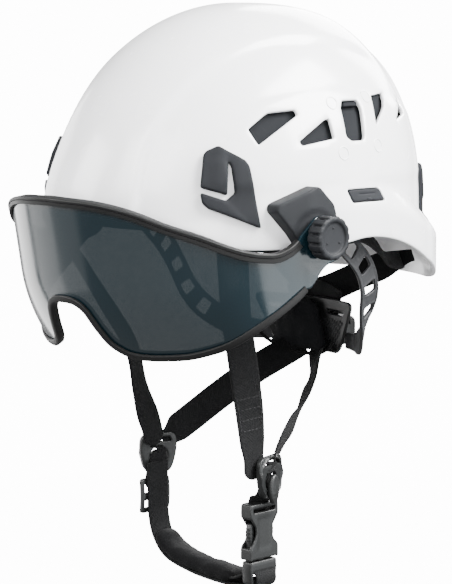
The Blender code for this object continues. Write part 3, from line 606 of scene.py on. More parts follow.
def map_point(turn, climb):
    reach = (90 - climb) * MAP_PER_DEGREE
    return Vector((reach * math.sin(math.radians(turn)), -reach * math.cos(math.radians(turn))))


def from_map(x, y, inset=0.0):
    turn = math.degrees(math.atan2(x, -y))
    climb = 90 - math.hypot(x, y) / MAP_PER_DEGREE
    return turn, rise_at(turn, climb, inset)


def climb_of(turn, rise):
    if rise <= 0:
        return rise / RISE_PER_DEGREE
    low, high = 0.0, 90.0
    for _ in range(30):
        middle = (low + high) / 2
        low, high = (middle, high) if rise_at(turn, middle) < rise else (low, middle)
    return low


def skin(x, y, height=0.0, inset=0.0, flared=True, relieved=True):
    """Point over the dome for a point on its round map."""
    def plain(px, py):
        turn, rise = from_map(px, py, inset)
        return shell_at(turn, rise, inset, flared)
    here = plain(x, y)
    step = 0.6
    rightward, upward = plain(x + step, y) - plain(x - step, y), plain(x, y + step) - plain(x, y - step)
    out = rightward.cross(upward).normalized()
    if relieved:
        turn, rise = from_map(x, y, inset)
        height += relief(turn, rise, here)
    return here + out * height


def on_shell(frame_matrix, turn, rise, x, y):
    """Turn and height on the dome of a point given in a flat frame on it."""
    inverse = frame_matrix.inverted()

    def flat(t, z):
        p = inverse @ shell_at(t, z)
        return Vector((p.x, p.y))
    goal = Vector((x, y))
    for _ in range(6):
        here = flat(turn, rise)
        by_turn, by_rise = (flat(turn + 0.1, rise) - here) / 0.1, (flat(turn, rise + 0.1) - here) / 0.1
        det = by_turn.x * by_rise.y - by_rise.x * by_turn.y
        miss = goal - here
        turn += (miss.x * by_rise.y - by_rise.x * miss.y) / det
        rise += (by_turn.x * miss.y - miss.x * by_turn.y) / det
    return turn, rise


def draper(turn, rise, relieved=True):
    """place() for a slab drawn flat at a spot on the wearer's left of the dome, and bent to it."""
    spot = shell_frame(turn, rise)

    def place(x, y, height):
        t, z = on_shell(spot, turn, rise, x, y)
        here = shell_at(t, z)
        around = shell_at(t + 0.4, z) - shell_at(t - 0.4, z)
        up = shell_at(t, z + 0.6) - shell_at(t, z - 0.6)
        lift = relief(t, z, here) if relieved else 0.0
        return here + around.cross(up).normalized() * (height + lift)
    return place


VENTS = (
    (64.8, 71, [(-18, -4), (-3.5, 6.5), (16, 8.5), (17.5, 5), (-12.5, -15)]),
    (78.4, 64, [(-15.5, -5.5), (6.5, 8), (10.5, 9), (12, -4.5), (-14, -8.5)]),
    (92.2, 70, [(-9, 9), (-6, 14.5), (8, 14.5), (10, 8.5), (7, -10), (5, -13), (-6, -13), (-10, -10)]),
    (108.5, 79, [(-7, 7.5), (13, 9.5), (5, -1), (-12, -13)]),
    (124.3, 75, [(10, 9), (8, -3), (-15, -6.5)]),
)
SLOT = (92, 22.5, [(-17.5, 4.5), (13.5, 4.5), (17, -4.5), (-14, -4.5)])
BOSSES = ((85.5, 82), (102, 85.5), (85.5, 50), (100.5, 53.5))


def on_map(placing, radius, gap):
    turn, rise, outline = placing
    spot = shell_frame(turn, rise)
    loop = []
    for p in spaced(rounded(outline, radius), gap):
        t, z = on_shell(spot, turn, rise, p.x, p.y)
        loop.append(map_point(t, climb_of(t, z)))
    return loop


def round_lattice(gap, reach, squeeze=0.72):
    points, row = [(0.0, 0.0)], 1
    while row * gap < reach:
        count = max(6, round(math.tau * row * gap * squeeze / gap))
        shift = 0.5 * (row % 2)
        for i in range(count):
            angle = math.tau * (i + shift) / count
            points.append((row * gap * math.sin(angle), -row * gap * math.cos(angle)))
        row += 1
    return np.array(points)


def build_shell():
    rim = []
    for i in range(420):
        turn = 360 * i / 420
        rim.append(map_point(turn, rim_height(turn) / RISE_PER_DEGREE))
    left = [on_map(vent, 1.6, 1.2) for vent in VENTS] + [on_map(SLOT, 2.0, 1.2)]
    right = [[Vector((-p.x, p.y)) for p in loop] for loop in left]
    levels = [(-3, 0.9), (-2.75, 0.3), (-2.2, 0), (-1.0, 0), (-0.55, 0.12), (-0.2, 0.42), (0, 0.95)]
    gap = 2.7
    body = slab([rim] + left + right, levels, gap, round_lattice(gap, 245), skin)
    rings = []
    for turn, rise in BOSSES:
        for side in (1, -1):
            boss = slab([circle(4.6, 32), circle(3.7, 32)], [(-0.4, 0), (0.22, 0.0), (0.34, 0.16)], 3,
                        np.zeros((0, 2)), draper(turn, rise))
            if side < 0:
                bmesh.ops.scale(boss, vec=(-1, 1, 1), verts=boss.verts)
                bmesh.ops.reverse_faces(boss, faces=boss.faces)
            rings.append(boss)
    piece("shell_skin", joined(body, *rings), WHITE, "root", "shell_white", ["outer_shell"], 45)


def build_liner():
    inset = 6.0
    rim = [map_point(3 * i, liner_rim(3 * i) / RISE_PER_DEGREE) for i in range(120)]

    def place(x, y, height):
        channel = 0.0
        if height < -10:
            spot = skin(x, y, height, inset, False, False)
            across = abs(spot.x)
            channel = 3.0 * smooth(1.6 - abs(across - 27) / 5) * smooth((78 - abs(spot.y - 8)) / 12)
        return skin(x, y, height + channel, inset, False, False)
    levels = [(-16, 2.5), (-15.2, 0.8), (-14, 0), (-1.5, 0), (-0.4, 0.5), (0, 1.5)]
    piece("foam_liner", slab([rim], levels, 5.0, round_lattice(5.0, 210), place), FOAM, "root", "foam_grey",
          ["inner_liner"], 50)


def build_screens():
    """Dark screens behind the vents, with the small ledge in the middle vent."""
    for word, side in SIDES:
        columns, rows = 90, 30
        sections = []
        for i in range(columns + 1):
            turn = 52 + 82 * i / columns
            line = []
            for j in range(rows + 1):
                line.append(shell_at(turn, 50 + 43 * j / rows, 4.2, False))
            back = [shell_at(turn, 50 + 43 * (rows - j) / rows, 5.3, False) for j in range(rows + 1)]
            sections.append(line + back)
        screen = lofted(sections)
        ledge = slab([spaced(rounded([(-6.5, -1.6), (6.5, -1.6), (7.5, 1.2), (-5.5, 1.2)], 0.8), 1.5)],
                     [(-3.4, 0), (-1.4, 0), (-1.0, 0.4)], 2.5, None,
                     lambda x, y, h: draper(92.2, 70, False)(x + 0.6, y + 12.2, h))
        piece(f"vent_mesh_{word}", joined(screen, ledge), SCREEN_GREY, "root", "clip_grey",
              [f"vent_screen_{word}"], 30, side < 0)


# ---------------------------------------------------------------- shell fittings
CLIP_BODY = [(-11, 15.5), (-9, 18), (-1.7, 21), (15, 11.5), (17.5, 8), (24.5, -31), (-9.5, -18.5), (-13, -15),
             (-13.8, -8.5), (2, -13.8), (8, -9), (6, 8), (4.2, 10.6), (3, -10.4), (-13.8, -5.2)]
REAR_CLIP = [(-8, 22), (8, 22), (11, 17), (11, -14), (5, -22), (-5, -22), (-11, -14), (-11, 17)]


def clip_relief(x, y):
    """Rise of the front clip's flap and fall of its lower lip."""
    flap = smooth((3.4 - x) / 1.2) * smooth((y + 11 + 0.3 * x) / 1.5) * (1 - 0.6 * smooth((y - 9) / 6))
    crease = (x - 2) * 0.70 + (y + 14.5) * 0.71
    lip = smooth((y + 40) / 6) * smooth((1.5 - crease) / 2.5) * smooth((-y - 6) / 3)
    ramped = 0.5 * smooth((x - 6) / 5) * smooth((y + 16) / 10)
    return 0.9 * flap + 0.55 * lip + ramped


def build_fittings():
    edge = [(0.15, 0.0), (1.9, 0.0), (2.6, 0.18), (3.05, 0.55), (3.25, 1.15)]
    for word, side in SIDES:
        mirror = side < 0
        spot = draper(48.7, 36.4)
        loop = spaced(rounded(CLIP_BODY, 1.6), 1.3)
        clip = slab([loop], edge, 1.8, None,
                    lambda x, y, h: spot(x, y, h + clip_relief(x, y) * smooth(h / 2.5)))
        piece(f"lamp_clip_front_{word}", clip, CLIP_GREY, "root", "clip_grey", [f"front_lamp_clip_{word}"],
              40, mirror)

        spot_rear = draper(150, 13, False)
        loops = [spaced(rounded(REAR_CLIP, 3), 1.5), rounded([(-7, -5), (7, -5), (7, -8), (-7, -8)], 1.2)]
        high = [(1.3, 0), (3.4, 0), (4.1, 0.2), (4.5, 0.6), (4.7, 1.2)]
        clip = slab(loops, high, 2.2, None,
                    lambda x, y, h: spot_rear(x, y, h + 0.7 * smooth((y + 3) / 3) * smooth(h / 3)))
        piece(f"lamp_clip_rear_{word}", clip, CLIP_GREY, "root", "clip_grey", [f"rear_lamp_clip_{word}"],
              40, mirror)

        turn, rise, outline = SLOT
        spot_plug = draper(turn, rise)
        loop = spaced(rounded([(x * 0.965, y * 0.88) for x, y in outline], 1.8), 1.5)

        def plug_place(x, y, h):
            line = 0.5 * smooth(1 - abs(y - 0.8) / 0.6) * smooth((9 - abs(x)) / 2)
            nub = 1.0 * smooth((1.9 - abs(x - 0.5)) / 0.8) * smooth((1.2 - abs(y + 3.1)) / 0.7)
            return spot_plug(x, y, h + (nub - line if h > -0.6 else 0))
        plug = slab([loop], [(-2.6, 0), (-0.7, 0), (-0.25, 0.3), (-0.05, 0.8)], 0.8, None, plug_place)
        piece(f"side_plug_{word}", plug, CLIP_GREY, "root", "clip_grey", [f"slot_plug_{word}"], 40, mirror)


# ---------------------------------------------------------------- visor
PIVOT_Y, PIVOT_Z = -34.0, -1.0
LENS_HALF_WIDTH, LENS_REACH, LENS_THICKNESS, LENS_TOP = 117.5, 126.0, 2.2, 25.5
# Rows of Y, lowest and highest point of the ear that the knob clamps.
EAR = [(-44.4, -33.3, 6.2), (-42.8, -33.1, 7.6), (-41.3, -32.6, 8.8), (-40, -31, 10), (-38.4, -29.3, 11.2),
       (-36.4, -27.2, 11.8), (-34.3, -25, 12), (-32.6, -23.3, 12.05), (-31, -22, 12), (-29.2, -20.7, 11.85),
       (-27.4, -19.6, 11.6), (-25.2, -18.8, 11.3), (-23, -18.3, 10.8), (-21, -17.7, 10.1), (-19, -16.9, 9),
       (-17.2, -15.7, 7.8), (-15.5, -14, 6), (-14.2, -11.5, 4), (-13.2, -8, 2)]
EAR_RAMP = [(-76, -10.5), (-71, -10.9), (-66, -10.1), (-60, -7.6), (-55, -4.9), (-51.8, -2.2), (-49.3, 1.6),
            (-44.4, 6.2)]
# Azimuth and height of the lens's lower and upper edges.
LOW_EDGE = [(0, -41.5), (3.7, -42), (6.8, -44.4), (9.2, -49.1), (10.6, -55.6), (12.2, -62.1), (14.1, -68.7),
            (17.1, -72.9), (20, -75.5), (24.8, -76.9), (29, -77), (33.7, -76.6), (41.3, -75.5), (48.8, -72.6),
            (56.6, -68.3), (61, -64.6), (65.5, -59.6), (69.5, -54.6), (73, -50), (76, -46), (79, -41.8),
            (81.5, -38.1), (84.5, -33.5)]
HIGH_EDGE = [(0, 23), (8.2, 22.5), (14, 22), (20.3, 20.6), (25.5, 18.6), (30.7, 15.7), (40.5, 8.1),
             (50.1, 1.5), (59.1, -5.5), (65, -9), (70.5, -10.5), (84.5, -10.5)]


def curve(rows, x):
    """Smooth reading of a table of pairs, without overshoot."""
    last = len(rows) - 1
    x = min(max(x, rows[0][0]), rows[-1][0])
    i = next(k for k in range(last) if x <= rows[k + 1][0])
    slopes = [(b[1] - a[1]) / (b[0] - a[0]) for a, b in zip(rows, rows[1:])]

    def tangent(k):
        if k == 0:
            return 0.0
        if k == last:
            return slopes[-1]
        one, two = slopes[k - 1], slopes[k]
        return 2 * one * two / (one + two) if one * two > 0 else 0.0
    (x0, z0), (x1, z1) = rows[i], rows[i + 1]
    width, t = x1 - x0, (x - x0) / (x1 - x0)
    return (z0 * (1 + 2 * t) * (1 - t) ** 2 + z1 * t * t * (3 - 2 * t)
            + width * t * (1 - t) * (tangent(i) * (1 - t) - tangent(i + 1) * t))


def lens_at(azimuth, rise):
    angle = math.radians(azimuth)
    drop = LENS_TOP - rise
    flat = smooth((abs(azimuth) - 50) / 30)
    tuck = 0.006 * max(0.0, drop - 55) ** 2
    width = LENS_HALF_WIDTH - (0.06 * drop + 0.5 * tuck) * (1 - flat)
    reach = LENS_REACH - (0.19 * drop + tuck) * (1 - flat)
    return Vector((width * math.sin(angle), PIVOT_Y - reach * math.cos(angle), rise))


def lens_top(azimuth):
    y = PIVOT_Y - LENS_REACH * math.cos(math.radians(azimuth))
    return table(EAR_RAMP, y) if y > EAR_RAMP[0][0] else curve(HIGH_EDGE, abs(azimuth))


def lens_bottom(azimuth):
    return curve(LOW_EDGE, abs(azimuth))


def build_lens():
    azimuths = [24 * i / 34 for i in range(34)] + [24 + 60.5 * i / 42 for i in range(43)]
    rows = 26
    half = []
    for azimuth in azimuths:
        low, high = lens_bottom(azimuth), lens_top(azimuth)
        half.append([lens_at(azimuth, low + (high - low) * j / rows) for j in range(rows + 1)])
    for y, low, high in EAR:
        half.append([Vector((LENS_HALF_WIDTH, y, low + (high - low) * j / rows)) for j in range(rows + 1)])
    mirror = Vector((-1, 1, 1))
    outer = [[point * mirror for point in line] for line in half[:0:-1]] + half
    grid = []
    last = len(outer) - 1
    for i, line in enumerate(outer):
        normals = []
        for j, here in enumerate(line):
            around = outer[min(i + 1, last)][j] - outer[max(i - 1, 0)][j]
            if abs(here.x) > LENS_HALF_WIDTH - 0.01:
                normals.append(Vector((math.copysign(1, here.x), 0, 0)))
                continue
            up = line[min(j + 1, rows)] - line[max(j - 1, 0)]
            normals.append(around.cross(up).normalized())
        grid.append(normals)
    bm = bmesh.new()
    bm.verts.layers.float_vector.new("flat")

    def sheet(depth, pull):
        sheet_rows = []
        for line, normals in zip(outer, grid):
            row = []
            for j, (here, out) in enumerate(zip(line, normals)):
                towards = Vector((0, 0, 0))
                if j in (0, rows):
                    inner = line[1] if j == 0 else line[rows - 1]
                    towards = (inner - here).normalized() * pull
                row.append(bm.verts.new(here - out * depth + towards))
            sheet_rows.append(row)
        return sheet_rows
    shells = [sheet(0, 0.5), sheet(0.5, 0), sheet(1.7, 0), sheet(2.2, 0.5)]
    for k, flip in ((0, False), (3, True)):
        rows_of = shells[k]
        for a, b in zip(rows_of, rows_of[1:]):
            for j in range(rows):
                corners = (a[j], b[j], b[j + 1], a[j + 1])
                bm.faces.new(corners[::-1] if flip else corners)
    for k in range(3):
        top_a, top_b = shells[k], shells[k + 1]
        for i in range(last):
            for j in (0, rows):
                bm.faces.new((top_a[i][j], top_a[i + 1][j], top_b[i + 1][j], top_b[i][j]))
        for i in (0, last):
            for j in range(rows):
                bm.faces.new((top_a[i][j], top_a[i][j + 1], top_b[i][j + 1], top_b[i][j]))
    loose = [v for v in bm.verts if not v.link_faces]
    bmesh.ops.delete(bm, geom=loose, context="VERTS")
    bmesh.ops.recalc_face_normals(bm, faces=bm.faces)
    piece("smoke_lens", bm, SMOKE, "visor", "smoke_lens", ["visor_lens"], 50)


def trim_sections(top, shape):
    limit = 81.5 if top else 84.5
    edge = lens_top if top else lens_bottom
    count = 150
    path = []
    for i in range(count + 1):
        azimuth = -limit + 2 * limit * i / count
        here = lens_at(azimuth, edge(azimuth))
        around = lens_at(azimuth + 0.5, here.z) - lens_at(azimuth - 0.5, here.z)
        up = lens_at(azimuth, here.z + 1) - lens_at(azimuth, here.z - 1)
        path.append((here, around.cross(up).normalized(), azimuth))
    sections = []
    for i, (here, out, azimuth) in enumerate(path):
        along = (path[min(i + 1, count)][0] - path[max(i - 1, 0)][0]).normalized()
        away = out.cross(along).normalized() * (1 if top else -1)
        points = shape(abs(azimuth), 1 - min(i, count - i) / 3)
        sections.append([here + out * a + away * h for a, h in points])
    return sections


def trim_piece(name, top, shape, nodes):
    bm = lofted(trim_sections(top, shape))
    piece(name, bm, CHARCOAL, "visor", "trim_charcoal", nodes, 32)


def build_trims():
    """Channels over the lens's edges, with a raised lip; they widen towards the ears."""
    inner = -LENS_THICKNESS

    def upper(azimuth, end):
        wide = 1.2 * smooth((azimuth - 25) / 40)
        back = inner - 2.2 + 1.3 * smooth((azimuth - 62) / 14)
        low, lip = -3.7 - 0.7 * wide, -0.7 - 0.5 * wide
        t = 2.3 - 1.0 * max(end, 0)
        return [(0.35, low), (t - 0.5, low + 0.15), (t - 0.15, low + 0.5), (t - 0.15, lip - 0.35),
                (t - 0.55, lip - 0.1), (t - 0.55, lip + 0.15), (t + 0.1, lip + 0.45), (t + 0.15, 0.8),
                (t - 0.3, 1.4), (t - 0.9, 1.6), (back + 0.5, 1.6), (back + 0.15, 1.3), (back, 0.8),
                (back, -2.9), (back + 0.25, -3.4), (inner - 0.35, -3.6), (inner - 0.35, 0.35),
                (0.35, 0.35)]

    def lower(azimuth, end):
        t = 1.9 - 0.8 * max(end, 0)
        return [(0.35, -2.9), (t - 0.5, -2.8), (t - 0.1, -2.4), (t, -1.0), (t, 0.9), (t - 0.35, 1.6),
                (t - 1.0, 1.9), (inner - 1.0, 1.9), (inner - 1.6, 1.5), (inner - 1.9, 0.9),
                (inner - 1.9, -2.3),
                (inner - 1.5, -2.9), (inner - 0.35, -2.9), (inner - 0.35, 0.35), (0.35, 0.35)]
    trim_piece("shield_trim_upper", True, upper, ["visor_upper_trim"])
    trim_piece("shield_trim_lower", False, lower, ["visor_lower_trim"])


ADAPTER = [(-61.5, 15.5), (-60.8, 19.6), (-58.5, 21), (-33.5, 30.6), (-30.5, 30), (-18, 18.5), (-15.5, 11),
           (-20, -6), (-28, -13), (-36, -14.5), (-45, -6), (-49, 0)]


def shell_side(y, z):
    """Reach of the shell in X at a height and a place along it, on the wearer's left."""
    low, high = 0.0, 90.0
    low, high = (0.0, 92.0) if y < CENTRE_Y else (88.0, 180.0)
    for _ in range(24):
        middle = (low + high) / 2
        low, high = (middle, high) if shell_at(middle, z).y < y else (low, middle)
    point = shell_at(low, z)
    return point.x + relief(low, z, point)


def build_adapters():
    for word, side in SIDES:
        loop = spaced(rounded(ADAPTER, 1.8, 5), 1.2)

        def place(y, z, h):
            base = shell_side(y, max(z, -8)) + 0.35
            slope = 105.5 + (y + 65) * 0.34
            face = slope if slope < 113.4 else 113.4 + 1.0 * (1 - math.exp(-(slope - 113.4) / 1.0))
            hollow = 1.0 * smooth((17.5 - math.hypot(y - PIVOT_Y, z - PIVOT_Z)) / 2.0)
            return Vector((base + (face - base) * min(h, 1.0) - hollow * smooth(h * 1.4 - 0.4), y, z))
        levels = [(0, 0), (0.5, 0), (0.86, 0.0), (0.95, 0.15), (0.985, 0.45), (1.0, 0.95)]
        block = slab([loop], levels, 2.2, None, place)
        piece(f"visor_mount_{word}", block, GREY, "root", "clip_grey", [f"visor_adapter_{word}"], 34,
              side < 0)


def build_knobs():
    """Fluted clamp knobs: fourteen flats with pits between them, a ring and a dished face."""
    def lobes(radius, x, angle):
        if radius < 12.4:
            return radius
        wave = math.cos(14 * angle)
        pit = smooth((-wave - 0.72) / 0.2) * smooth((x - 2.2) / 0.8) * smooth((9.6 - x) / 0.6)
        flute = 0.55 * smooth((wave + 0.75) / 0.7) - 0.35
        return radius + flute - 1.5 * pit
    profile = [(0.4, 9.7), (4, 9.75), (8.6, 9.9), (9.6, 10.0), (10.1, 10.3), (10.4, 10.9), (10.9, 11.3),
               (12.0, 11.5), (13.0, 11.3), (13.7, 10.7), (13.95, 9.8), (13.95, 9.4), (13.95, 9.0), (13.95, 7),
               (13.95, 5), (13.95, 3.4), (13.95, 2.6), (13.95, 2.0), (13.7, 0.8), (13.2, 0.1), (12.2, 0.0),
               (3.4, 0.0)]
    for word, side in SIDES:
        knob = turned(profile, 168, lobes)
        marks = []
        for i in range(3):
            angle = math.pi / 2 + math.tau * i / 3
            dot = turned([(0.1, 10.35), (0.55, 10.3), (0.8, 10.0), (0.8, 9.4)], 16)
            bmesh.ops.translate(dot, verts=dot.verts, vec=(0, 6.4 * math.cos(angle), 6.4 * math.sin(angle)))
            marks.append(dot)
        knob = joined(knob, *marks)
        bmesh.ops.translate(knob, verts=knob.verts, vec=(118.9, PIVOT_Y, PIVOT_Z))
        piece(f"clamp_knob_{word}", knob, GREY, f"knob_{word}", "clip_grey", [f"visor_knob_{word}"], 32,
              side < 0)


# ---------------------------------------------------------------- bands
def smooth_path(points, steps):
    ends = [points[0] * 2 - points[1]] + list(points) + [points[-1] * 2 - points[-2]]
    path = []
    for a, b, c, d in zip(ends, ends[1:], ends[2:], ends[3:]):
        for step in range(steps):
            t = step / steps
            path.append(0.5 * ((2 * b) + (c - a) * t + (2 * a - 5 * b + 4 * c - d) * t ** 2
                               + (3 * b - a - 3 * c + d) * t ** 3))
    return path + [points[-1]]


class Track:
    """A smooth path for a band; at(s, w, h) is a point along it, across it and out from it."""

    def __init__(self, points, facing, steps=14):
        self.path = smooth_path([Vector(p) for p in points], steps)
        self.sides = smooth_path([Vector(f).normalized() for f in facing], steps)
        self.steps = steps
        self.reach = [0.0]
        for a, b in zip(self.path, self.path[1:]):
            self.reach.append(self.reach[-1] + (b - a).length)
        self.length = self.reach[-1]

    def at(self, s, w, h):
        s = min(max(s, 0.0), self.length)
        low, high = 0, len(self.reach) - 1
        while high - low > 1:
            middle = (low + high) // 2
            low, high = (middle, high) if self.reach[middle] <= s else (low, middle)
        t = (s - self.reach[low]) / max(self.reach[high] - self.reach[low], 1e-6)
        a, b = self.frame(low), self.frame(high)
        across, out = a[1].lerp(b[1], t).normalized(), a[2].lerp(b[2], t).normalized()
        return a[0].lerp(b[0], t) + across * w + out * h

    def frame(self, i):
        last = len(self.path) - 1
        along = (self.path[min(i + 1, last)] - self.path[max(i - 1, 0)]).normalized()
        out = (self.sides[i] - along * self.sides[i].dot(along)).normalized()
        return self.path[i], along.cross(out), out


def band(track, start, end, width, levels, gap=2.0, lift=0.0, shape=None, corner=0.8):
    """Flat band on a track, with its edge profile; shape(s, w, h) may move points first."""
    loop = rounded([(start, -width / 2), (end, -width / 2), (end, width / 2), (start, width / 2)], corner, 3)

    def place(s, w, h):
        if shape:
            s, w, h = shape(s, w, h)
        return track.at(s, w, h + lift)
    return slab([spaced(loop, gap)], levels, gap, None, place)


STRAP_EDGE = [(0, 0.45), (0.25, 0.08), (0.8, 0.0), (1.35, 0.08), (1.6, 0.45)]


def stitches(track, spots, lift):
    """Short raised threads; spots are (s, w, direction), with direction along or across the band."""
    threads = []
    for s, w, across in spots:
        half = (0.28, 1.05) if across else (1.05, 0.28)
        loop = rounded([(s - half[0], w - half[1]), (s + half[0], w - half[1]), (s + half[0], w + half[1]),
                        (s - half[0], w + half[1])], 0.25, 2)
        threads.append(slab([loop], [(-0.1, 0), (0.14, 0.0), (0.24, 0.12)], 3, np.zeros((0, 2)),
                            lambda a, b, h: track.at(a, b, h + lift)))
    return painted(joined(*threads), 1)


def stitch_box(start, end, width):
    """Spots of a sewn rectangle with two more rows across it."""
    spots = []
    half = width / 2 - 2
    s = start
    while s <= end:
        spots += [(s, -half, False), (s, half, False)]
        s += 3.0
    for line in (start, (start * 2 + end) / 3, (start + end * 2) / 3, end):
        w = -half + 1.5
        while w <= half - 1:
            spots.append((line, w, True))
            w += 3.0
    return spots


# Each band has points on its middle line and, for each of them, the way its outer face looks.
FRONT_STRAP = [(80.6, -74.8, 8), (81, -76, -12), (73, -67, -34), (64.5, -57, -56), (54.6, -41.4, -88),
               (53.2, -34.7, -117),
               (53, -32, -137), (52.7, -30.6, -150), (52.6, -30.2, -160), (52.6, -30.2, -167.5)]
FAR_FRONT_STRAP = FRONT_STRAP[:6] + [(52.5, -30, -133), (52, -24.5, -147), (52.2, -22.6, -156),
                                     (52.3, -22.2, -161)]
FRONT_FACING = [(0.8, -0.6, 0), (0.8, -0.6, 0), (0.83, -0.55, 0), (0.85, -0.5, 0), (0.87, -0.45, 0),
                (0.9, -0.35, 0), (0.96, -0.16, 0), (0.98, 0, 0), (0.98, 0.02, 0), (0.98, 0.02, 0)]
REAR_STRAP = [(8, 78.5, -93), (13.5, 71.5, -99.5), (28.7, 50, -110.4), (38, 28, -131), (46, 8, -141),
              (51, -4, -148), (53, -10.5, -153), (54.4, -12.5, -158)]
FAR_REAR_STRAP = [(8, 78.5, -93), (13.5, 71.5, -98.5), (27.5, 50, -113), (38, 28, -128.5), (46, 8, -143),
                  (51.5, -5, -152.5), (53.6, -10.5, -156), (54.6, -12.5, -159)]
REAR_FACING = [(0, 1, -0.1), (0.02, 1, -0.1), (0.2, 0.97, 0), (0.4, 0.92, 0), (0.5, 0.86, 0), (0.55, 0.83, 0),
               (0.62, 0.78, 0), (0.72, 0.69, 0)]
FAR_REAR_FACING = [(0.3, 0.95, -0.1), (0.4, 0.92, 0), (0.55, 0.84, 0), (0.62, 0.78, 0), (0.7, 0.72, 0),
                   (0.78, 0.62, 0), (0.85, 0.52, 0), (0.9, 0.43, 0)]
NAPE_STRAP = [(74, 103, -27), (66, 103.5, -29), (52, 99, -35), (34, 93, -43), (10, 86.5, -54.5),
              (-10, 85.5, -60), (-24, 83, -64)]
NAPE_FACING = [(0.5, 0.86, 0.3), (0.45, 0.89, 0.2), (0.4, 0.92, 0.1), (0.3, 0.95, 0.1), (0.1, 1, 0.1),
               (-0.1, 1, 0), (-0.25, 0.97, 0)]
SIDE_STRAP = [(95, 12, -3), (92.5, 32, -7), (87.5, 52, -17), (80, 68, -26), (71, 88, -30), (62, 104, -31)]
SIDE_FACING = [(0.8, 0.2, 0.55), (0.8, 0.3, 0.5), (0.75, 0.4, 0.5), (0.7, 0.5, 0.5), (0.6, 0.6, 0.5),
               (0.5, 0.8, 0.3)]
CHIN_STRAP = [(-50, -21, -172), (-50, -21, -190), (-49.5, -21, -207), (-45, -21, -222), (-33, -21, -234),
              (-10, -21, -239.5), (12, -21, -241.5), (38, -21, -242)]
CHIN_FACING = [(-1, 0, 0), (-1, 0, 0), (-1, 0, -0.1), (-0.85, 0, -0.5), (-0.5, 0, -0.85), (-0.15, 0, -1),
               (0, 0, -1), (0, 0, -1)]
CHIN_PAD = [(-49, -21, -206), (-45, -21, -220.5), (-33, -21, -232), (-10, -21, -237.5), (12, -21, -239.5),
            (34, -21, -240)]
CHIN_PAD_FACING = [(1, 0, 0.1), (0.85, 0, 0.5), (0.5, 0, 0.85), (0.15, 0, 1), (0, 0, 1), (0, 0, 1)]


def build_straps():
    for word, side in SIDES:
        mirror = side < 0
        track = Track(FAR_FRONT_STRAP if mirror else FRONT_STRAP, FRONT_FACING)
        turn_start = track.length - 26

        def narrowed(s, w, h):
            fold = smooth((s - turn_start) / 14)
            tip = max(0.0, s - track.length + 7) / 7
            edge = (w / 10) ** 2
            return s - 3.2 * tip * edge, w * (1 - 0.12 * fold - 0.16 * tip ** 2), h + 0.5 * fold * edge
        strap = band(track, 0, track.length, 20, STRAP_EDGE, 1.6, 0, narrowed)
        sewn = stitches(track, stitch_box(turn_start - 30, turn_start - 8, 20), 1.6)
        piece(f"webbing_front_{word}", joined(strap, sewn), [WEBBING, THREAD], "root", "webbing_black",
              [f"front_strap_{word}"], 50, mirror)

        track = Track(FAR_REAR_STRAP, FAR_REAR_FACING) if mirror else Track(REAR_STRAP, REAR_FACING)

        def narrowed_rear(s, w, h):
            fold = smooth((s - track.length + 16) / 14)
            return s, w * (1 - 0.42 * fold) - 1.5 * fold, h
        strap = band(track, 0, track.length, 20, STRAP_EDGE, 1.6, 0, narrowed_rear)
        piece(f"webbing_rear_{word}", strap, [WEBBING, THREAD], "root", "webbing_black",
              [f"rear_strap_{word}"], 50, mirror)

        track = Track(NAPE_STRAP, NAPE_FACING)

        def gathered(s, w, h):
            return s, w * (0.42 + 0.58 * smooth(s / 30)), h
        strap = band(track, 0, track.length, 20, STRAP_EDGE, 1.6, 0, gathered)
        side_track = Track(SIDE_STRAP, SIDE_FACING)
        strap = joined(strap, band(side_track, 0, side_track.length, 13, STRAP_EDGE, 1.6))
        piece(f"webbing_nape_{word}", strap, [WEBBING, THREAD], "cradle", "webbing_black",
              [f"nape_strap_{word}"], 50, mirror)


def build_anchors():
    """Strap anchors inside the front of the shell."""
    outline = rounded([(-10, -7), (10, -7), (10, 3), (6, 7), (-6, 7), (-10, 3)], 1.5)
    for word, side in SIDES:
        out = Vector((0.8, -0.6, 0))
        across = Vector((0, 0, 1)).cross(out)

        def place(x, y, h):
            return Vector((83.6, -76.9, 5)) + across * x + Vector((0, 0, 1)) * y + out * h
        plate = slab([outline], [(-0.7, 0.3), (-0.4, 0), (0.4, 0), (0.7, 0.3)], 4, None, place)
        piece(f"strap_anchor_{word}", plate, GREY, "root", "clip_grey", [f"front_anchor_{word}"], 40,
              side < 0)


# ---------------------------------------------------------------- dividers and buckle
DIVIDER = Vector((55, -17, -167))
DIVIDER_EDGE = [(-14.8, 3), (-13.5, 14.2), (13.5, 14.2), (14.8, 3), (11.3, -10), (7, -14.5), (-7, -14.5),
                (-11.3, -10)]


def divider_place(x, y, h):
    out = Vector((0.97, 0.243, 0)).normalized()
    across = Vector((0, 0, 1)).cross(out)
    return DIVIDER + across * x + Vector((0, 0, 1)) * y + out * h


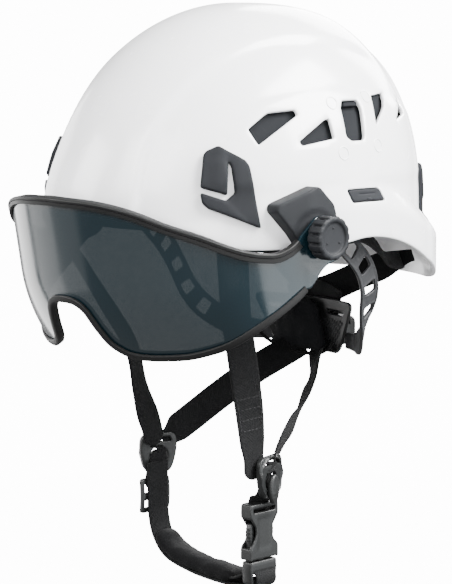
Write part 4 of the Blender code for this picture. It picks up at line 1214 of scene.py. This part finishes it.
def build_dividers():
    thick = [(-1.8, 0.6), (-1.5, 0.15), (-1.0, 0), (1.0, 0), (1.5, 0.15), (1.8, 0.6)]
    eye = circle(7.2, 40, (0, -2.6))
    for word, side in SIDES:
        mirror = side < 0
        edge = spaced(rounded(DIVIDER_EDGE, 6.5, 8), 1.5)

        def place(x, y, h):
            rim = 1.5 * smooth((0.55 - abs(math.hypot(x / 14.3, (y + 0.2) / 14.4) - 0.96) / 0.16) * 1.6)
            return divider_place(x, y, h + (rim if h > 0 else 0))
        slot = spaced(rounded([(-8.6, 11), (8.6, 11), (10.2, 8), (-10.2, 8)], 1.0), 1.5)
        plate = slab([edge, slot, eye], thick, 1.3, None, place)
        piece(f"divider_plate_{word}", plate, BLACK, "root", "buckle_black", [f"strap_divider_{word}"], 40,
              mirror)

        outline = [Vector((p.x * 0.62, p.y * 1.1 - 8)) for p in circle(9, 44)]

        def domed(x, y, h):
            middle = smooth(1 - math.hypot(x / 6.2, (y + 8) / 10.4))
            field = smooth((-y - 8) / 2) * smooth((4.5 - abs(x)) / 1.5)
            ridge = 0.25 * max(0.0, math.sin((y + 8) * 1.9)) * field
            return divider_place(x, y, h + ((0.9 * middle + ridge) if h > 4 else 0))
        lever = slab([outline], [(2.35, 0.5), (2.6, 0.1), (3.4, 0), (4.3, 0.1), (4.9, 0.5), (5.2, 1.3)],
                     0.9, None, domed)
        piece(f"flip_lever_{word}", lever, BLACK, f"lever_{word}", "buckle_black",
              [f"divider_lever_{word}"], 40, mirror)


BUCKLE = Vector((50, -21, -184))


def buckle_place(y, z, h):
    return BUCKLE + Vector((h, y, z))


def build_buckle():
    """Side-release buckle. The flat outlines are drawn in Y and Z and given depth along X."""
    top, low = -0.2, -38
    right = [(12.6, -1.5), (13, -7.5), (11.0, -11.5), (7.7, -16), (7.4, -21), (9.0, -25.5), (12.4, -28.6),
             (13.0, -31), (13.0, low + 0.4)]
    waist = [(11.5, top)] + right + [(-y, z) for y, z in right[::-1]] + [(-11.5, top)]
    slot = rounded([(-10, -3.1), (10, -3.1), (10, -5.9), (-10, -5.9)], 1.0)
    soft = [(0.0, 0.5), (0.25, 0.1), (0.6, 0), (1.2, 0.0), (1.5, 0.15), (1.75, 0.6)]

    def face_relief(y, z):
        field = smooth((7.0 - abs(y)) / 2) * smooth((z + 33) / 4) * smooth((-8 - z) / 3)
        return -0.35 * field
    loop = spaced(rounded(waist, 1.6), 1.4)

    def face(side):
        def at(y, z, h):
            return buckle_place(y, z, side * (3.25 + h + (face_relief(y, z) if h > 1 else 0)))
        return slab([loop, slot], soft, 1.6, None, at)
    outer, inner = face(1), face(-1)

    def wall(outline, depth, holes=()):
        profile = [(-depth, 0.5), (-depth + 0.5, 0), (depth - 0.5, 0), (depth, 0.5)]
        return slab([spaced(rounded(outline, 1.0), 1.5), *holes], profile, 2.5, None, buckle_place)
    head = wall([(-12.8, -0.4), (12.8, -0.4), (13, -3), (-13, -3)], 4.7)
    bar = wall([(-13, -6), (13, -6), (12.4, -10.4), (-12.4, -10.4)], 4.7)
    side_a = wall([(10.2, -1.5), (13, -1.5), (13, -9.5), (10.2, -9.5)], 4.85)
    side_b = wall([(-13, -1.5), (-10.2, -1.5), (-10.2, -9.5), (-13, -9.5)], 4.85)
    collar = []
    for sign in (1, -1):
        points = [(sign * 10.6, -29.6), (sign * 13.05, -30.2), (sign * 13.05, -37.9), (sign * 10.6, -37.9)]
        collar.append(wall(points, 5.05))
    piece("release_body", joined(outer, inner, head, bar, side_a, side_b, *collar), BLACK, "root",
          "buckle_black", ["buckle_female"], 40)

    for word, sign in (("front", -1), ("rear", 1)):
        outline = [(sign * 6.9, -13.6), (sign * 9.6, -13.4), (sign * 11.0, -16.5), (sign * 11.3, -21.5),
                   (sign * 10.4, -27.2), (sign * 10.0, -37.2), (sign * 6.9, -37.2)]
        profile = [(-2.3, 0.7), (-1.9, 0.2), (-1.2, 0), (1.2, 0), (1.9, 0.2), (2.3, 0.7)]

        def ribbed(y, z, h, sign=sign):
            rib = 0.28 * max(0.0, math.sin((z + 20) * 2.4)) * smooth((6.5 - abs(z + 20.5)) / 1.5)
            return buckle_place(y + sign * rib * smooth((abs(y) - 9.2) / 1.2), z, h)
        arm = slab([spaced(rounded(outline, 1.4), 0.7)], profile, 1.4, None, ribbed)
        piece(f"release_prong_{word}", arm, BLACK, f"prong_{word}", "buckle_black",
              [f"buckle_prong_{word}"], 40)

    base = [(-12, -39), (12, -39), (12.4, -44), (11.6, -54.4), (-11.6, -54.4), (-12.4, -44)]
    gate = rounded([(-9.2, -46.4), (9.2, -46.4), (9.2, -51.2), (-9.2, -51.2)], 1.2)
    profile = [(-4.4, 0.9), (-4.0, 0.25), (-3.4, 0), (3.4, 0), (4.0, 0.25), (4.4, 0.9)]
    frame_plate = slab([spaced(rounded(base, 1.6), 1.5), gate], profile, 2, None, buckle_place)
    tongue = slab([spaced(rounded([(-2.4, -12.6), (2.4, -12.6), (2.4, -40), (-2.4, -40)], 0.8), 1.5)],
                  [(-2, 0.4), (-1.6, 0), (1.6, 0), (2, 0.4)], 2, None, buckle_place)
    piece("release_plug", joined(frame_plate, tongue), BLACK, "chin", "buckle_black", ["buckle_male"], 40)


def build_adjuster():
    """Ladder lock on the wearer's right."""
    edge = spaced(rounded([(-13, -12), (13, -12), (13, 12), (-13, 12)], 2.5), 1.5)
    holes = [rounded([(-10.6, -8.5), (10.6, -8.5), (10.6, -3), (-10.6, -3)], 1),
             rounded([(-10.6, 2), (10.6, 2), (10.6, 8.5), (-10.6, 8.5)], 1)]

    def place(y, z, h):
        bow = 1.2 * (z / 12) ** 2
        return Vector((-53.8 - h - bow + 0.2, -21 + y, -195.5 + z))
    profile = [(-1.5, 0.5), (-1.1, 0), (1.1, 0), (1.5, 0.5)]
    piece("ladder_frame", slab([edge] + holes, profile, 1.5, None, place), BLACK, "root", "buckle_black",
          ["ladder_lock"], 40)


def build_loops():
    """Short webbing loops that hang the buckle and the ladder lock on the strap dividers."""
    near = Track([(57.0, -18, -157.5), (52.6, -18, -163.5), (52.0, -18.5, -171), (51.5, -19.5, -179),
                  (47.5, -20.5, -184), (43.6, -21, -188.4), (46.5, -21, -190.3), (51, -21, -189.2),
                  (53.6, -21, -186)],
                 [(0.3, 0, 1), (0.95, 0.2, 0.3), (1, 0.2, 0), (1, 0, 0.1), (0.8, 0, 0.6), (0.9, 0, 0),
                  (0, 0, 1), (-0.4, 0, 0.9), (-0.9, 0, 0.4)])
    loop = band(near, 0, near.length, 13.2, STRAP_EDGE, 1.6)
    piece("web_loop_left", loop, [WEBBING, THREAD], "root", "webbing_black", [], 50)
    far = Track([(-57.2, -18, -163.0), (-53.4, -18.2, -165.5), (-52.3, -18.5, -171), (-52.6, -19.5, -179),
                 (-53.2, -20.5, -186.0), (-55.2, -21, -190.5), (-57.2, -21, -186.5), (-56.6, -20, -178)],
                [(-0.3, 0, 1), (-0.9, 0.2, 0.3), (-1, 0.2, 0), (-1, 0, 0), (-1, 0, 0.1), (0, 0, 1),
                 (1, 0, 0.1), (1, 0, 0)])
    loop = band(far, 0, far.length, 13.2, STRAP_EDGE, 1.6)
    piece("web_loop_right", loop, [WEBBING, THREAD], "root", "webbing_black", [], 50)


# ---------------------------------------------------------------- cradle
# The arm's middle line and facing as for the straps; its holes are lengths along it.
ARM_POINTS = [(95, -3, 3), (96, 9, -7), (97.2, 28, -25), (94.6, 37.7, -42), (88, 43, -59), (78, 51, -73),
              (61, 64.5, -85), (46, 77, -88), (34, 81, -88)]
ARM_FACING = [(1, 0.02, 0), (1, 0.02, 0), (1, -0.03, 0), (0.99, -0.02, 0), (0.95, 0.12, 0), (0.85, 0.42, 0),
              (0.6, 0.78, 0), (0.45, 0.9, 0), (0.37, 0.93, 0)]
ARM_HOLES = (27, 43.5, 61.5, 79.5, 98)
CRADLE_Y, CRADLE_Z = 5.0, -3.0


def nape_y(x):
    return 80 - 10 * (x / 46) ** 2


def build_arms():
    track = Track(ARM_POINTS, ARM_FACING)
    spots = ARM_HOLES
    pin = min(range(len(track.path)), key=lambda i: (track.path[i] - Vector((96, CRADLE_Y, CRADLE_Z))).length)
    pin_s = track.reach[pin]

    def width(s):
        return 8.5 * (1 - 0.3 * smooth((s / track.length - 0.75) / 0.25))
    steps = 90
    edge = [(track.length * i / steps, -width(track.length * i / steps)) for i in range(1, steps)]
    edge = [(0.0, -5.2), (0.4, -6.8), (1.4, -8.0)] + edge[1:] + [(track.length, -5.2)]
    loop = edge + [(s, -w) for s, w in edge[::-1]]
    holes = [spaced(rounded([(s - 4.6, -5), (s + 3.6, -5), (s + 4.6, 5), (s - 3.6, 5)], 1.6), 1.2)
             for s in spots]
    holes.append(circle(3.1, 24, (pin_s, 0)))
    marks = [(spots[0] + spots[1]) / 2 + 0.2]

    def place(s, w, h):
        lip = 0.0
        if h > 0:
            lip = 0.55 * smooth((abs(w) - width(s) + 2.0) / 0.7)
            for spot in spots:
                reach = max(abs(s - spot - 0.1 * w) - 4.1, abs(w) - 5)
                lip = max(lip, 0.5 * smooth((1.5 - reach) / 0.6))
            for spot in marks:
                lip += 0.5 * smooth(1 - abs(math.hypot(s - spot, w) - 2.3) / 0.6)
        return track.at(s, w, h + lip - 1.9)
    levels = [(0, 0.45), (0.25, 0.1), (0.6, 0), (1.3, 0), (1.65, 0.12), (1.9, 0.5)]
    for word, side in SIDES:
        arm = slab([loop] + holes, levels, 1.1, None, place)
        piece(f"adjuster_arm_{word}", arm, ARM_GREY, "cradle", "cradle_grey", [f"cradle_arm_{word}"], 40,
              side < 0)


def build_nape():
    holes = []
    for sign in (-1, 1):
        points = [(sign * 17, -70.6), (sign * 35.5, -70.6), (sign * 38, -67.2), (sign * 15, -67.2)]
        holes.append(spaced(rounded(points, 1.0), 1.2))
    outline = spaced(rounded([(-46, -65), (-32, -93.5), (-27, -98), (27, -98), (32, -93.5), (46, -65),
                              (46, -61.5), (43, -60), (-43, -60), (-46, -61.5)], 2), 1.6)

    def place(x, z, h):
        inset = smooth((42.5 - abs(x) + 0.5 * min(0, z + 66)) / 2.5) * smooth((-72.5 - z) / 1.5)
        rib = 0.45 * math.sin((z - 1.1 * abs(x)) * 1.7) * inset
        slope = (nape_y(x + 0.5) - nape_y(x - 0.5))
        out = Vector((-slope, 1, 0)).normalized()
        return Vector((x, nape_y(x), z)) + out * (h - (rib + 0.1 if h < 0.1 else 0))
    levels = [(0, 0.5), (0.4, 0), (1.8, 0), (2.15, 0.15), (2.4, 0.6)]
    piece("nape_frame", slab([outline] + holes, levels, 1.0, None, place), BLACK, "cradle", "buckle_black",
          ["nape_plate"], 40)

    body = spaced(rounded([(-28, -10), (28, -10), (28, 10), (-28, 10)], 5.5, 6), 2)
    mouth = circle(3.2, 24)

    def cover(x, z, h):
        crown = 1.2 * (1 - (x / 28) ** 2)
        return Vector((x, 83.6 + h + (crown if h > 8 else 0), -83 + z))
    profile = [(0, 0.6), (0.5, 0.1), (1.2, 0), (11.2, 0), (12.4, 0.3), (13.2, 1.0), (13.6, 2.2)]
    housing = slab([body, mouth], profile, 2.5, None, cover)
    case = piece("nape_case", housing, BLACK, "cradle", "buckle_black", ["nape_housing"], 40)
    carved(case, (0, 90.3, -83), (40, 8.6, 15.8))
    for side in (1, -1):
        carved(case, (side * 29, 88.6, side * 6.35 - 83), (24, 4.6, 3.0))

    def grips(radius, x, angle):
        return radius - (0.9 * smooth((math.cos(12 * angle) - 0.2) / 0.6) if radius > 12.5 and x > 0.8 else 0)
    profile = [(0.4, 6.6), (6, 6.7), (9.2, 6.9), (10, 7.4), (11.6, 7.9), (13, 7.6), (13.8, 6.6), (14.0, 5.6),
               (14.0, 3), (14.0, 1.2), (13.6, 0.3), (13, 0), (3, 0)]
    dial = turned(profile, 144, grips)
    bmesh.ops.rotate(dial, verts=dial.verts, matrix=Matrix.Rotation(math.pi / 2, 3, "Z"))
    bmesh.ops.translate(dial, verts=dial.verts, vec=(0, 99, -83))
    piece("fit_dial", dial, BLACK, "dial", "buckle_black", ["nape_dial"], 34)


def build_brow_band():
    def ellipse(reach_degrees, inset):
        points, facing = [], []
        for i in range(25):
            angle = math.radians(-reach_degrees + 2 * reach_degrees * i / 24)
            drop = 15 * smooth((abs(math.degrees(angle)) - 55) / 40)
            points.append(((82 - inset) * math.sin(angle), -(103 - inset) * math.cos(angle), 13 - drop))
            facing.append((math.sin(angle) / 82, -math.cos(angle) / 103, 0))
        return Track(points, facing, 4)
    track = ellipse(96, 0)
    outline = rounded([(0, -12), (track.length, -12), (track.length, 12), (0, 12)], 3)
    holes = []
    for i in range(9):
        s = track.length * (i + 1) / 10
        holes.append(rounded([(s - 5.5, -4.5), (s + 5.5, -4.5), (s + 5.5, 4.5), (s - 5.5, 4.5)], 2))
    levels = [(0, 0.4), (0.3, 0), (1.3, 0), (1.6, 0.4)]
    strip = slab([spaced(outline, 2.5)] + [spaced(h, 1.5) for h in holes], levels, 3, None, track.at)
    piece("brow_strip", strip, ARM_GREY, "root", "cradle_grey", ["brow_band"], 40)
    return ellipse(62, 5.4)


# ---------------------------------------------------------------- padding
def puffed(new, cap, voxel=4.2, pressure=4.0):
    """Swell a closed pad with Blender's cloth, hold back each point's travel, and smooth it."""
    remesh = new.modifiers.new("remesh", "REMESH")
    remesh.mode = "VOXEL"
    remesh.voxel_size = voxel * MM
    applied(new)
    start = np.empty(len(new.data.vertices) * 3)
    new.data.vertices.foreach_get("co", start)
    start = start.reshape(-1, 3)
    cloth = new.modifiers.new("cloth", "CLOTH")
    cloth.settings.use_pressure = True
    cloth.settings.uniform_pressure_force = pressure
    cloth.settings.quality = 4
    cloth.settings.effector_weights.gravity = 0
    scene = bpy.context.scene
    for number in range(1, 21):
        scene.frame_set(number)
    applied(new)
    scene.frame_set(1)
    end = np.empty(len(new.data.vertices) * 3)
    new.data.vertices.foreach_get("co", end)
    end = end.reshape(-1, 3)
    move = end - start
    reach = np.linalg.norm(move, axis=1, keepdims=True)
    limit = cap * MM
    end = start + move * np.minimum(1.0, limit / np.maximum(reach, 1e-9))
    new.data.vertices.foreach_set("co", end.ravel())
    finer = new.modifiers.new("finer", "SUBSURF")
    finer.levels = 1
    applied(new)
    new.data.shade_smooth()


def creased(new, depth, scale, seed):
    """Soft folds: move each point along its normal by smooth noise."""
    mesh = new.data
    shift = Vector((seed * 7.3, seed * 3.1, seed * 5.7))
    moved = []
    for v in mesh.vertices:
        spot = v.co / MM / scale + shift
        fold = noise.noise(spot) + 0.5 * noise.noise(spot * 2.3)
        moved.append(v.co + v.normal * fold * depth * MM)
    for v, co in zip(mesh.vertices, moved):
        v.co = co


def build_pads(brow_track):
    pad_edge = [(0, 1.2), (0.8, 0.3), (2.5, 0), (4.2, 0.3), (5, 1.2)]
    brow = band(brow_track, 2, brow_track.length - 2, 26, pad_edge, 3.0, 0, None, 6)
    new = piece("brow_cushion", brow, PADDING, "root", "pad_black", ["brow_pad"], 0)
    puffed(new, 1.1, 3.2)

    def crown_place(x, y, h):
        return skin(x, y, h, 23.5, False, False)
    reach = 78.0
    petals = []
    for i in range(144):
        angle = math.tau * i / 144
        radius = reach * (0.80 + 0.14 * math.cos(4 * angle))
        petals.append(Vector((radius * math.sin(angle), -radius * math.cos(angle))))
    crown = slab([petals], [(-4.6, 1.5), (-3.8, 0.4), (-2.4, 0), (-1.0, 0.4), (-0.4, 1.5)], 3.5, None,
                 crown_place)
    new = piece("crown_cushion", crown, PADDING, "root", "pad_black", ["crown_pad"], 0)
    puffed(new, 1.2, 3.6)

    def nape_place(x, z, h):
        slope = (nape_y(x + 0.5) - nape_y(x - 0.5))
        out = Vector((slope, -1, 0)).normalized()
        return Vector((x, nape_y(x) - 0.5, z)) + out * h
    outline = rounded([(-33, -98), (19.5, -98.5), (20, -92), (9, -61), (-24, -61)], 5, 6)
    nape = slab([spaced(outline, 2.5)], [(0.6, 1.2), (1.6, 0.2), (4, 0), (6.2, 0.2), (7.2, 1.2)], 3, None,
                nape_place)
    new = piece("nape_cushion", nape, PADDING, "cradle", "pad_black", ["nape_pad"], 0)
    puffed(new, 1.6, 3.6)
    creased(new, 1.3, 15, 3)


def build_binding():
    """Corded edge of the nape lining, hanging in a bow below the plate."""
    spots = [(-44, -80), (-41, -87), (-35, -92.5), (-25, -97), (-12, -99.6), (2, -100), (14, -98.6),
             (23, -94.5), (30, -89)]
    path = [Vector((x, nape_y(x) - 4.5 - 2.5 * smooth((22 - abs(x + 8)) / 22), z)) for x, z in spots]
    path = smooth_path(path, 10)
    sections = []
    for i, here in enumerate(path):
        along = (path[min(i + 1, len(path) - 1)] - path[max(i - 1, 0)]).normalized()
        side = along.cross(Vector((0, 1, 0))).normalized()
        end = 0.35 + 0.65 * smooth(min(i, len(path) - 1 - i) / 3)
        sections.append([here + (side * math.cos(t) + side.cross(along) * math.sin(t)) * 1.25 * end
                         for t in (math.tau * k / 12 for k in range(12))])
    piece("nape_binding", lofted(sections), BINDING, "cradle", "pad_black", [], 0)


def build_chin():
    """Webbing through the plug's gate and the padded sleeve round it."""
    track = Track(CHIN_STRAP, CHIN_FACING)
    strap = band(track, 0, track.length, 18.5, STRAP_EDGE, 1.8)
    wrap = Track([(37, -21, -242.4), (47, -21, -241.9), (54.4, -21, -238.4), (55.6, -21, -234.2),
                  (53.6, -21, -230.9), (48, -21, -230.6), (43.6, -21, -233.6), (36, -21, -237.6),
                  (30, -21, -238.8)],
                 [(0, 0, 1), (-0.2, 0, 1), (-0.7, 0, 0.7), (-1, 0, 0.1), (-0.6, 0, -0.8), (0.1, 0, -1),
                  (0.4, 0, -0.9), (0.2, 0, -1), (0, 0, -1)])
    loop = band(wrap, 0, wrap.length, 18.2, STRAP_EDGE, 1.8, -1.6)
    piece("webbing_chin", joined(strap, loop), [WEBBING, THREAD], "chin", "webbing_black", ["chin_strap"], 50)

    pad_track = Track(CHIN_PAD, CHIN_PAD_FACING)
    length = pad_track.length
    sections = []
    rows = 46
    for i in range(rows + 1):
        s = 13 + (length - 13) * i / rows
        end = smooth(min(s - 13, length - s) / 5)
        section = []
        for k in range(28):
            angle = math.tau * k / 28
            w = 10.8 * (0.82 + 0.18 * end) * math.copysign(abs(math.cos(angle)) ** 0.75, math.cos(angle))
            h = (0.9 + 4.4 * end) * math.copysign(abs(math.sin(angle)) ** 0.85, math.sin(angle)) + 2.3
            section.append(pad_track.at(s, w, h))
        sections.append(section)
    sleeve = lofted(sections)
    new = piece("chin_cushion", sleeve, CHIN_PADDING, "chin", "pad_black", ["chin_pad"], 0)
    puffed(new, 1.5, 3.4)
    creased(new, 0.8, 12, 5)


build_shell()
build_liner()
build_screens()
build_fittings()
build_lens()
build_trims()
build_adapters()
build_knobs()
build_straps()
build_anchors()
build_dividers()
build_buckle()
build_adjuster()
build_loops()
build_arms()
build_nape()
build_pads(build_brow_band())
build_binding()
build_chin()

for new, body, slot, nodes in FINISH:
    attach(new, body)
    if nodes:
        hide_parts(*nodes)

CAD_LOOKS = {"pivot_stud": STEEL, "pivot_washer": STEEL, "cradle_pin": STEEL, "nape_pinion": STEEL,
             "rack": ARM_GREY, "temple_bracket": GREY}
replaced = {node for _, _, _, nodes in FINISH for node in nodes}
for name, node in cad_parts.items():
    if name in replaced:
        continue
    look = next(material for start, material in CAD_LOOKS.items() if name.startswith(start))
    for slot in node.material_slots:
        slot.material = look


# ---------------------------------------------------------------- stage, light and camera
FLOOR_HEIGHT = -280.0  # far enough down for the chin strap to drop when its buckle is released


def build_stage():
    profile = [(0.0, 0.0), (0.5, 0.0), (1.5, 0.0), (2.6, 0.0)]
    profile += [(2.6 + math.sin(math.radians(a)), 1 - math.cos(math.radians(a))) for a in range(10, 91, 10)]
    profile += [(3.6, 2.2), (3.6, 3.6)]
    bm = bmesh.new()
    rings = [[bm.verts.new((radius * math.cos(math.tau * i / 96), radius * math.sin(math.tau * i / 96),
                            height))
              for i in range(96)] for radius, height in profile[1:]]
    bm.faces.new(rings[0])
    for low, high in zip(rings, rings[1:]):
        for i in range(96):
            j = (i + 1) % 96
            bm.faces.new((low[i], low[j], high[j], high[i]))
    mesh = bpy.data.meshes.new("floor")
    bm.to_mesh(mesh)
    bm.free()
    mesh.shade_smooth()
    mesh.materials.append(floor_material())
    floor = bpy.data.objects.new("floor", mesh)
    floor.location = (0, 0, FLOOR_HEIGHT * MM)
    floor.visible_diffuse = floor.visible_glossy = floor.visible_shadow = False
    bpy.context.scene.collection.objects.link(floor)

    world = bpy.data.worlds.new("studio")
    bpy.context.scene.world = world
    world.use_nodes = True
    background = world.node_tree.nodes["Background"]
    background.inputs["Color"].default_value = (1, 1, 1, 1)
    background.inputs["Strength"].default_value = 0.5


def area_light(name, place, target, size, power, colour=(1, 1, 1)):
    data = bpy.data.lights.new(name, "AREA")
    data.shape = "RECTANGLE"
    data.size, data.size_y = size
    data.energy = power
    data.color = colour
    lamp = bpy.data.objects.new(name, data)
    lamp.location = place
    lamp.rotation_euler = (Vector(target) - Vector(place)).to_track_quat("-Z", "Y").to_euler()
    bpy.context.scene.collection.objects.link(lamp)


PICTURE_HEIGHT, FOCAL_LENGTH = 584, 2205
CAMERA_DISTANCE, SENSOR_HEIGHT = 1.5, 36


def build_camera():
    """The photo's view: 46 degrees round from the front and 5.5 degrees up, from 1.5 m."""
    towards = Vector((0.716, -0.6915, 0.0958)).normalized()
    right = Vector((0.6947, 0.7193, 0.0)).normalized()
    up = towards.cross(right).normalized()
    data = bpy.data.cameras.new("camera")
    camera = bpy.data.objects.new("camera", data)
    camera.matrix_world = Matrix((right, up, towards)).transposed().to_4x4()
    camera.location = towards * CAMERA_DISTANCE
    data.sensor_fit = "VERTICAL"
    data.sensor_height = SENSOR_HEIGHT
    data.lens = FOCAL_LENGTH * SENSOR_HEIGHT / PICTURE_HEIGHT
    data.shift_x = -4 / PICTURE_HEIGHT
    data.shift_y = -73 / PICTURE_HEIGHT
    data.clip_start = 0.05
    bpy.context.scene.collection.objects.link(camera)
    bpy.context.scene.camera = camera


build_stage()
area_light("top_right", (1.25, 0.75, 1.3), (0, 0, 0.02), (1.2, 1.2), 260)
area_light("front_top", (0.35, -1.7, 1.2), (0, 0, 0), (1.4, 1.0), 64)
area_light("front_left", (-1.3, -1.5, 0.95), (0, 0, 0.03), (1.0, 0.8), 42)
area_light("left_softbox", (-2.05, 0.1, -0.15), (0, -0.1, -0.05), (0.9, 1.8), 26)
area_light("left_softbox_mid", (-1.85, -0.95, -0.15), (0, -0.1, -0.05), (0.9, 1.8), 12)
area_light("left_softbox_dim", (-1.3, -1.6, -0.15), (0, -0.1, -0.05), (0.9, 1.8), 4)
area_light("right_softbox", (2.0, 0.72, -0.2), (0, -0.05, 0), (2.1, 1.3), 36, (0.94, 0.98, 1.0))
area_light("rear_fill", (-0.6, 1.6, 0.9), (0, 0, 0), (1.4, 1.0), 80)
area_light("low_fill", (1.6, -1.4, -0.05), (0, 0, -0.1), (1.4, 0.35), 25)
build_camera()
